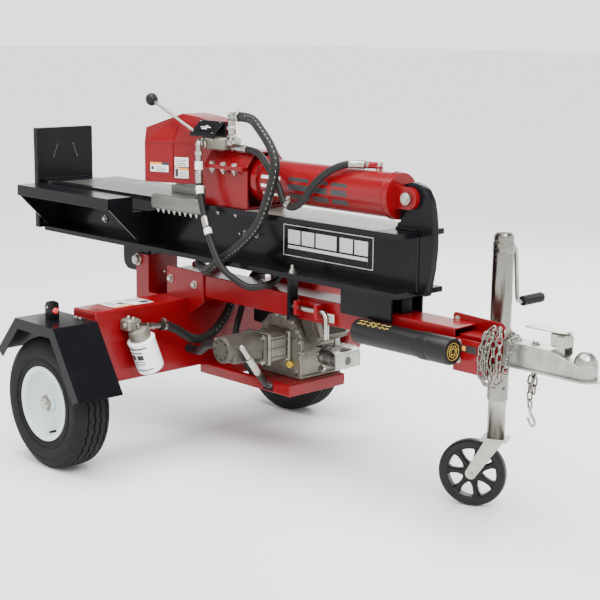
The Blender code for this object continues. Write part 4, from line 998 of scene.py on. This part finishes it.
# generic bars on the can, bent round it
for low, high, first, last in ((16, 21, -70, 70), (30, 34, -46, 34), (40, 56, -46, -18), (40, 56, -10, 14),
                               (62, 65, -46, 40), (70, 73, -46, 20), (90, 94, -70, 70)):
    rings = []
    for along in (low, high):
        rings.append([CAN_TOP + CAN_AXIS * along
                      + (FACING * cos(radians(a)) + BESIDE * sin(radians(a))) * 42.05
                      for a in [first + (last - first) * i / 12 for i in range(13)]])
    can.loft(rings, closed=False, caps=False)
can.finish("filter_can", "frame", ["oil_filter"])

mount = Shape("cast")
mount.lathe([(0, -32), (20, -32), (29, -29), (32.5, -21), (32.8, -6), (32.8, -1),
             (0, -1)], CAN_TOP, CAN_AXIS, 48)
mount.box((86, -321, 409), (134.5, -273, 445), 5)
mount.look("zinc")
mount.rod((135, -295, 424), (135, -230, 417), 10, steps=24)
mount.hexagon((135, -256, 419.8), (0, 1, -0.108), 21.5, 12)
mount.hexagon((135, -236, 417.6), (0, 1, -0.108), 19.5, 8)
mount.rod((135, -230, 417), (135, -205.5, 414), 8.5, steps=20)
for x in (98, 122):
    mount.bolt((x, -297, 445), Z, 11, 5.5)
mount.bolt((112, -321, 427), -Y, 13, 6)
mount.finish("filter_mount", "frame", ["filter_head"])

# ---- manual canister
TUBE_Y, TUBE_Z = -86.8, 503
tube = Shape("plastic")
tube.lathe([(0, 853), (29, 853), (33, 856), (34.3, 860), (34.3, 1083), (33, 1084.5), (36.3, 1087),
            (36.5, 1090), (36.5, 1118), (35.2, 1119.5), (35.2, 1122.5), (36.5, 1124), (36.5, 1185),
            (34.5, 1190), (30, 1192), (26.2, 1192), (25.5, 1190.5),
            (0, 1190.5)], (0, TUBE_Y, TUBE_Z), X, 64)
for y, z in circle(TUBE_Y, TUBE_Z, 36.2, 28):
    tube.tube([(1092, y, z), (1116, y, z)], 1.1, 8)
for x in (905, 1120):
    tube.box((x - 14.8, -60, 490.2), (x + 14.8, -48.5, 515.8), 2)
tube.look("gold")
# plain wavy rings stand for the printed picture on the end cap
for ring, waves, swing in ((22.5, 0, 0), (15, 7, 1.6), (8.5, 5, 1.2)):
    wave = []
    for i in range(60):
        a = tau * i / 60
        reach = ring + swing * sin(waves * a)
        wave.append((1190.7, TUBE_Y + reach * cos(a), TUBE_Z + reach * sin(a)))
    tube.tube(wave, 0.7, 6, closed=True)
for first, last, swing in ((872, 902, 2), (908, 944, 3.5), (950, 985, 2)):
    for shift in (-0.16, 0.16):
        wave = []
        for i in range(25):
            angle = radians(118) + shift + swing / 34.5 * sin(tau * i / 12)
            wave.append((first + (last - first) * i / 24, TUBE_Y + 34.4 * cos(angle),
                         TUBE_Z + 34.4 * sin(angle)))
        tube.tube(wave, 0.9, 6)
tube.finish("document_tube", "frame", ["manual_canister"])

# ---- coupler latch
latch = Shape("zinc")
latch.box((1436.5, -14.5, 549), (1486.5, 14.5, 586), 4)
latch.slab([(1362, -17), (1372, -19), (1470, -19), (1485, -12), (1485, 12), (1470, 19), (1372, 19),
            (1362, 17)], 587, 591.2, 1, "XY")
latch.rod((1452, -15, 568), (1452, 15, 568), 6)
latch.finish("hitch_lever", "hitch_latch", ["coupler_latch"])


# ---- safety chains
LINK_LENGTH, LINK_WIDTH, LINK_WIRE, LINK_PITCH = 29, 19, 2.7, 20.5


def link(shape, centre, along, across):
    """One oval chain link."""
    along, across = Vector(along).normalized(), Vector(across)
    across = (across - along * across.dot(along)).normalized()
    straight, bow = (LINK_LENGTH - LINK_WIDTH) / 2, LINK_WIDTH / 2 - LINK_WIRE
    ring = []
    for k in range(20):
        angle = tau * k / 20
        shift = straight if cos(angle) >= 0 else -straight
        ring.append(Vector(centre) + along * (shift + bow * cos(angle)) + across * bow * sin(angle))
    shape.tube(ring, LINK_WIRE, 10, closed=True)


def chain(name, node, runs, hook):
    """Links along each run, every one a quarter turn on from the last."""
    shape = Shape("tube")
    for points in runs:
        route = smooth_route(points, 2)
        travelled, turn = 0, 0
        target = LINK_PITCH / 2
        for a, b in zip(route, route[1:]):
            travelled += (b - a).length
            if travelled >= target:
                along = (b - a).normalized()
                side = along.cross(Vector((0.31, 0.22, 0.92))).normalized()
                other = along.cross(side)
                lean = radians(45 if turn % 2 else -45)
                link(shape, b, along, side * cos(lean) + other * sin(lean))
                target += LINK_PITCH
                turn += 1
    shape.look("zinc").tube(smooth_route(hook, 3), lambda t: 4.5 - 1.5 * t, 14)
    shape.finish(name, "frame", [node])


BUNCH = [  # further loops of the same chain, hung in a bunch
    [(1276, -58, 566), (1264, -62, 530), (1260, -64, 480), (1272, -66, 440), (1292, -66, 436),
     (1302, -66, 470), (1300, -62, 520), (1292, -56, 562)],
    [(1300, -52, 574), (1290, -68, 540), (1286, -71, 490), (1300, -73, 446), (1318, -72, 452),
     (1326, -70, 500), (1318, -60, 548), (1306, -40, 578)],
    [(1318, -40, 572), (1334, -52, 556), (1352, -54, 560), (1366, -46, 572)],
]
chain("near_chain_links", "chain_near",
      [[(1292, -46, 580), (1276, -58, 556), (1272, -60, 508), (1276, -61, 452), (1300, -62, 430),
        (1330, -62, 448), (1345, -60, 500), (1348, -52, 545), (1335, -30, 562), (1312, -4, 566)]] + BUNCH,
      [(1312, -4, 566), (1306, -10, 556), (1302, -14, 545), (1306, -16, 534), (1316, -14, 533),
       (1319, -10, 541)])
chain("far_chain_links", "chain_far",
      [[(1372, 10, 480), (1374, 8, 470), (1376, -4, 430), (1379, -5, 385)],
       [(1384, 8, 478), (1385, 2, 450), (1386, -2, 415)]],
      [(1379, -5, 380), (1381, -4, 366), (1389, -1, 350), (1392, 1, 338), (1385, 3, 330), (1376, 3, 335),
       (1368, 2, 350)])

# ---- jack
JACK_X, JACK_Y = 1130, 187
jack = Shape("tube")
jack.lathe([(25.6, 316), (28.5, 316), (29, 317.5), (29, 740), (27.5, 740), (27.5, 770), (24, 777),
            (0, 777.8), (0, 750), (25.6, 750), (25.6, 316)], (JACK_X, JACK_Y, 0), Z, 48)
jack.lathe([(29, 725), (29.8, 727), (29.8, 752), (29, 754), (28, 754), (28, 725),
            (29, 725)], (JACK_X, JACK_Y, 0), Z, 48)
jack.rod((JACK_X, 136, 515), (JACK_X, 160, 515), 25.8, steps=36)
jack.box((JACK_X - 20, 140, 495), (JACK_X + 20, 165, 535), 3)
jack.rod((JACK_X, 213, 740), (JACK_X, 221.5, 740), 11, steps=28)
jack.look("steel")
for x, z in circle(JACK_X, 515, 23.5, 15):
    jack.ball((x, 136.5, z), 3.2, 8)
jack.look("iron")
for angle in (200, 250, 340):
    out = Vector((cos(radians(angle)), sin(radians(angle)), 0))
    spot = Vector((JACK_X, JACK_Y, 352))
    jack.rod(spot + out * 28.5, spot + out * 29.3, 5, steps=16)
# dark patches stand for the tube's slots: painted shade in place of the openings
for low, high, wide in ((748, 762, 5), (718, 725, 3.6), (704, 710, 3.4)):
    jack.box((JACK_X - wide, JACK_Y - 30.2, low), (JACK_X + wide, JACK_Y - 28, high))
jack.look("tube")
jack.box((JACK_X - 11, JACK_Y - 31, 729), (JACK_X + 11, JACK_Y - 27, 742), 2)
jack.look("plastic").rod((JACK_X, JACK_Y, 777.9), (JACK_X, JACK_Y, 778.6), 21.5, steps=40)
jack.finish("jack_sleeve", "jack", ["jack_tube"])

crank = Shape("zinc")
elbows = [(1130, 226, 740), (1130, 235, 735), (1132, 240, 722), (1136.5, 241.5, 660), (1141, 243, 598),
          (1142, 246, 588), (1142, 253, 583)]
crank.tube([(1130, 199, 740), (1130, 222, 740)] + smooth_route(elbows, 4)
           + [(1142, 300, 583), (1142, 355.5, 583)], 5.9, 18)
crank.finish("crank_rod", "crank", ["jack_crank"])
grip = Shape("plastic")
grip.lathe([(7.2, 1), (12.5, 1), (14.5, 4), (14.5, 8.5), (12.5, 10)]
           + [(12.5 + 1.5 * (i % 2), 11.5 + 2.8 * i) for i in range(24)]
           + [(12.8, 80), (14.3, 82), (14.3, 87), (12, 89.5), (7.2, 89.5),
              (7.2, 1)], (1142, 264, 583), Y, 40)
grip.finish("crank_handgrip", "grip", ["crank_grip"])

# ---- caster wheel
HUB, HUB_AXIS = Vector((1073.4, 161.8, 97)), Vector((0.4067, -0.9135, 0))
wheel = Shape("plastic")
wheel.lathe([(8.5, -17), (24, -17), (26.5, -15), (26.5, 15), (24, 17), (8.5, 17),
             (8.5, -17)], HUB, HUB_AXIS, 48)
wheel.lathe([(70, -12), (72.5, -15), (77, -16.5), (90.5, -16.5), (95.5, -12), (97, -5), (97, 5), (95.5, 12),
             (90.5, 16.5), (77, 16.5), (72.5, 15), (70, 12), (69, 0), (70, -12)], HUB, HUB_AXIS, 72)
spoke = HUB_AXIS.cross(Z)
SPOKES = 7
SPOKE_SECTION = ((1, 0.6), (0.6, 1), (-0.6, 1), (-1, 0.6), (-1, -0.6), (-0.6, -1), (0.6, -1), (1, -0.6))
for k in range(SPOKES):
    angle = tau * k / SPOKES
    out = spoke * cos(angle) + Z * sin(angle)
    flat = HUB_AXIS.cross(out)
    rings = []
    for reach, half, deep in ((22, 12, 13.5), (40, 7.2, 11.5), (58, 7.8, 11), (73.5, 15, 12.5)):
        rings.append([HUB + out * reach + flat * half * u + HUB_AXIS * deep * v for u, v in SPOKE_SECTION])
    wheel.loft(rings)
wheel.look("zinc").rod(HUB - HUB_AXIS * 16.8, HUB + HUB_AXIS * 16.8, 8.2, steps=24)
wheel.finish("caster_roller_wheel", "caster_roller", ["caster_wheel"])

# ---- floor and light
FLOOR_SIZE = 120  # metres
bpy.ops.mesh.primitive_plane_add(size=FLOOR_SIZE, location=(0, 0, cad_box[0][2]))
floor = bpy.context.object
floor.name = "studio_floor"
floor.data.materials.append(LOOKS["floor"])

LIGHTS = [  # name, place, aim, size, watts
    ("key_light", (3.4, -1.2, 3.6), (0, 0, 0.5), 1.6, 150),
    ("top_light", (-0.6, -0.6, 3.8), (0, 0, 0.4), 2.2, 110),
    ("rear_light", (-1.0, 4.0, 2.8), (0, 0, 0.6), 2.0, 120),
]
for name, place, aim, size, watts in LIGHTS:
    lamp = bpy.data.lights.new(name, "AREA")
    lamp.size, lamp.energy = size, watts
    holder = bpy.data.objects.new(name, lamp)
    scene.collection.objects.link(holder)
    holder.location = place
    holder.rotation_euler = (Vector(aim) - Vector(place)).to_track_quat("-Z", "Y").to_euler()
sun = bpy.data.lights.new("soft_sun", "SUN")
sun.energy = 5.2
sun.angle = radians(70)
holder = bpy.data.objects.new("soft_sun", sun)
scene.collection.objects.link(holder)
holder.rotation_euler = (radians(18), radians(12), 0)

# a studio that is bright all round at eye level and dim overhead
world = scene.world or bpy.data.worlds.new("studio")
scene.world = world
world.use_nodes = True
tree = world.node_tree
height = add_node(tree, "SeparateXYZ", Vector=add_node(tree, "TexCoord").outputs["Generated"]).outputs["Z"]
feed(tree, tree.nodes["Background"], Strength=2.2,
     Color=ramp(tree, height, [(0.22, (1, 1, 1)), (0.5, (0.16, 0.16, 0.17))]))
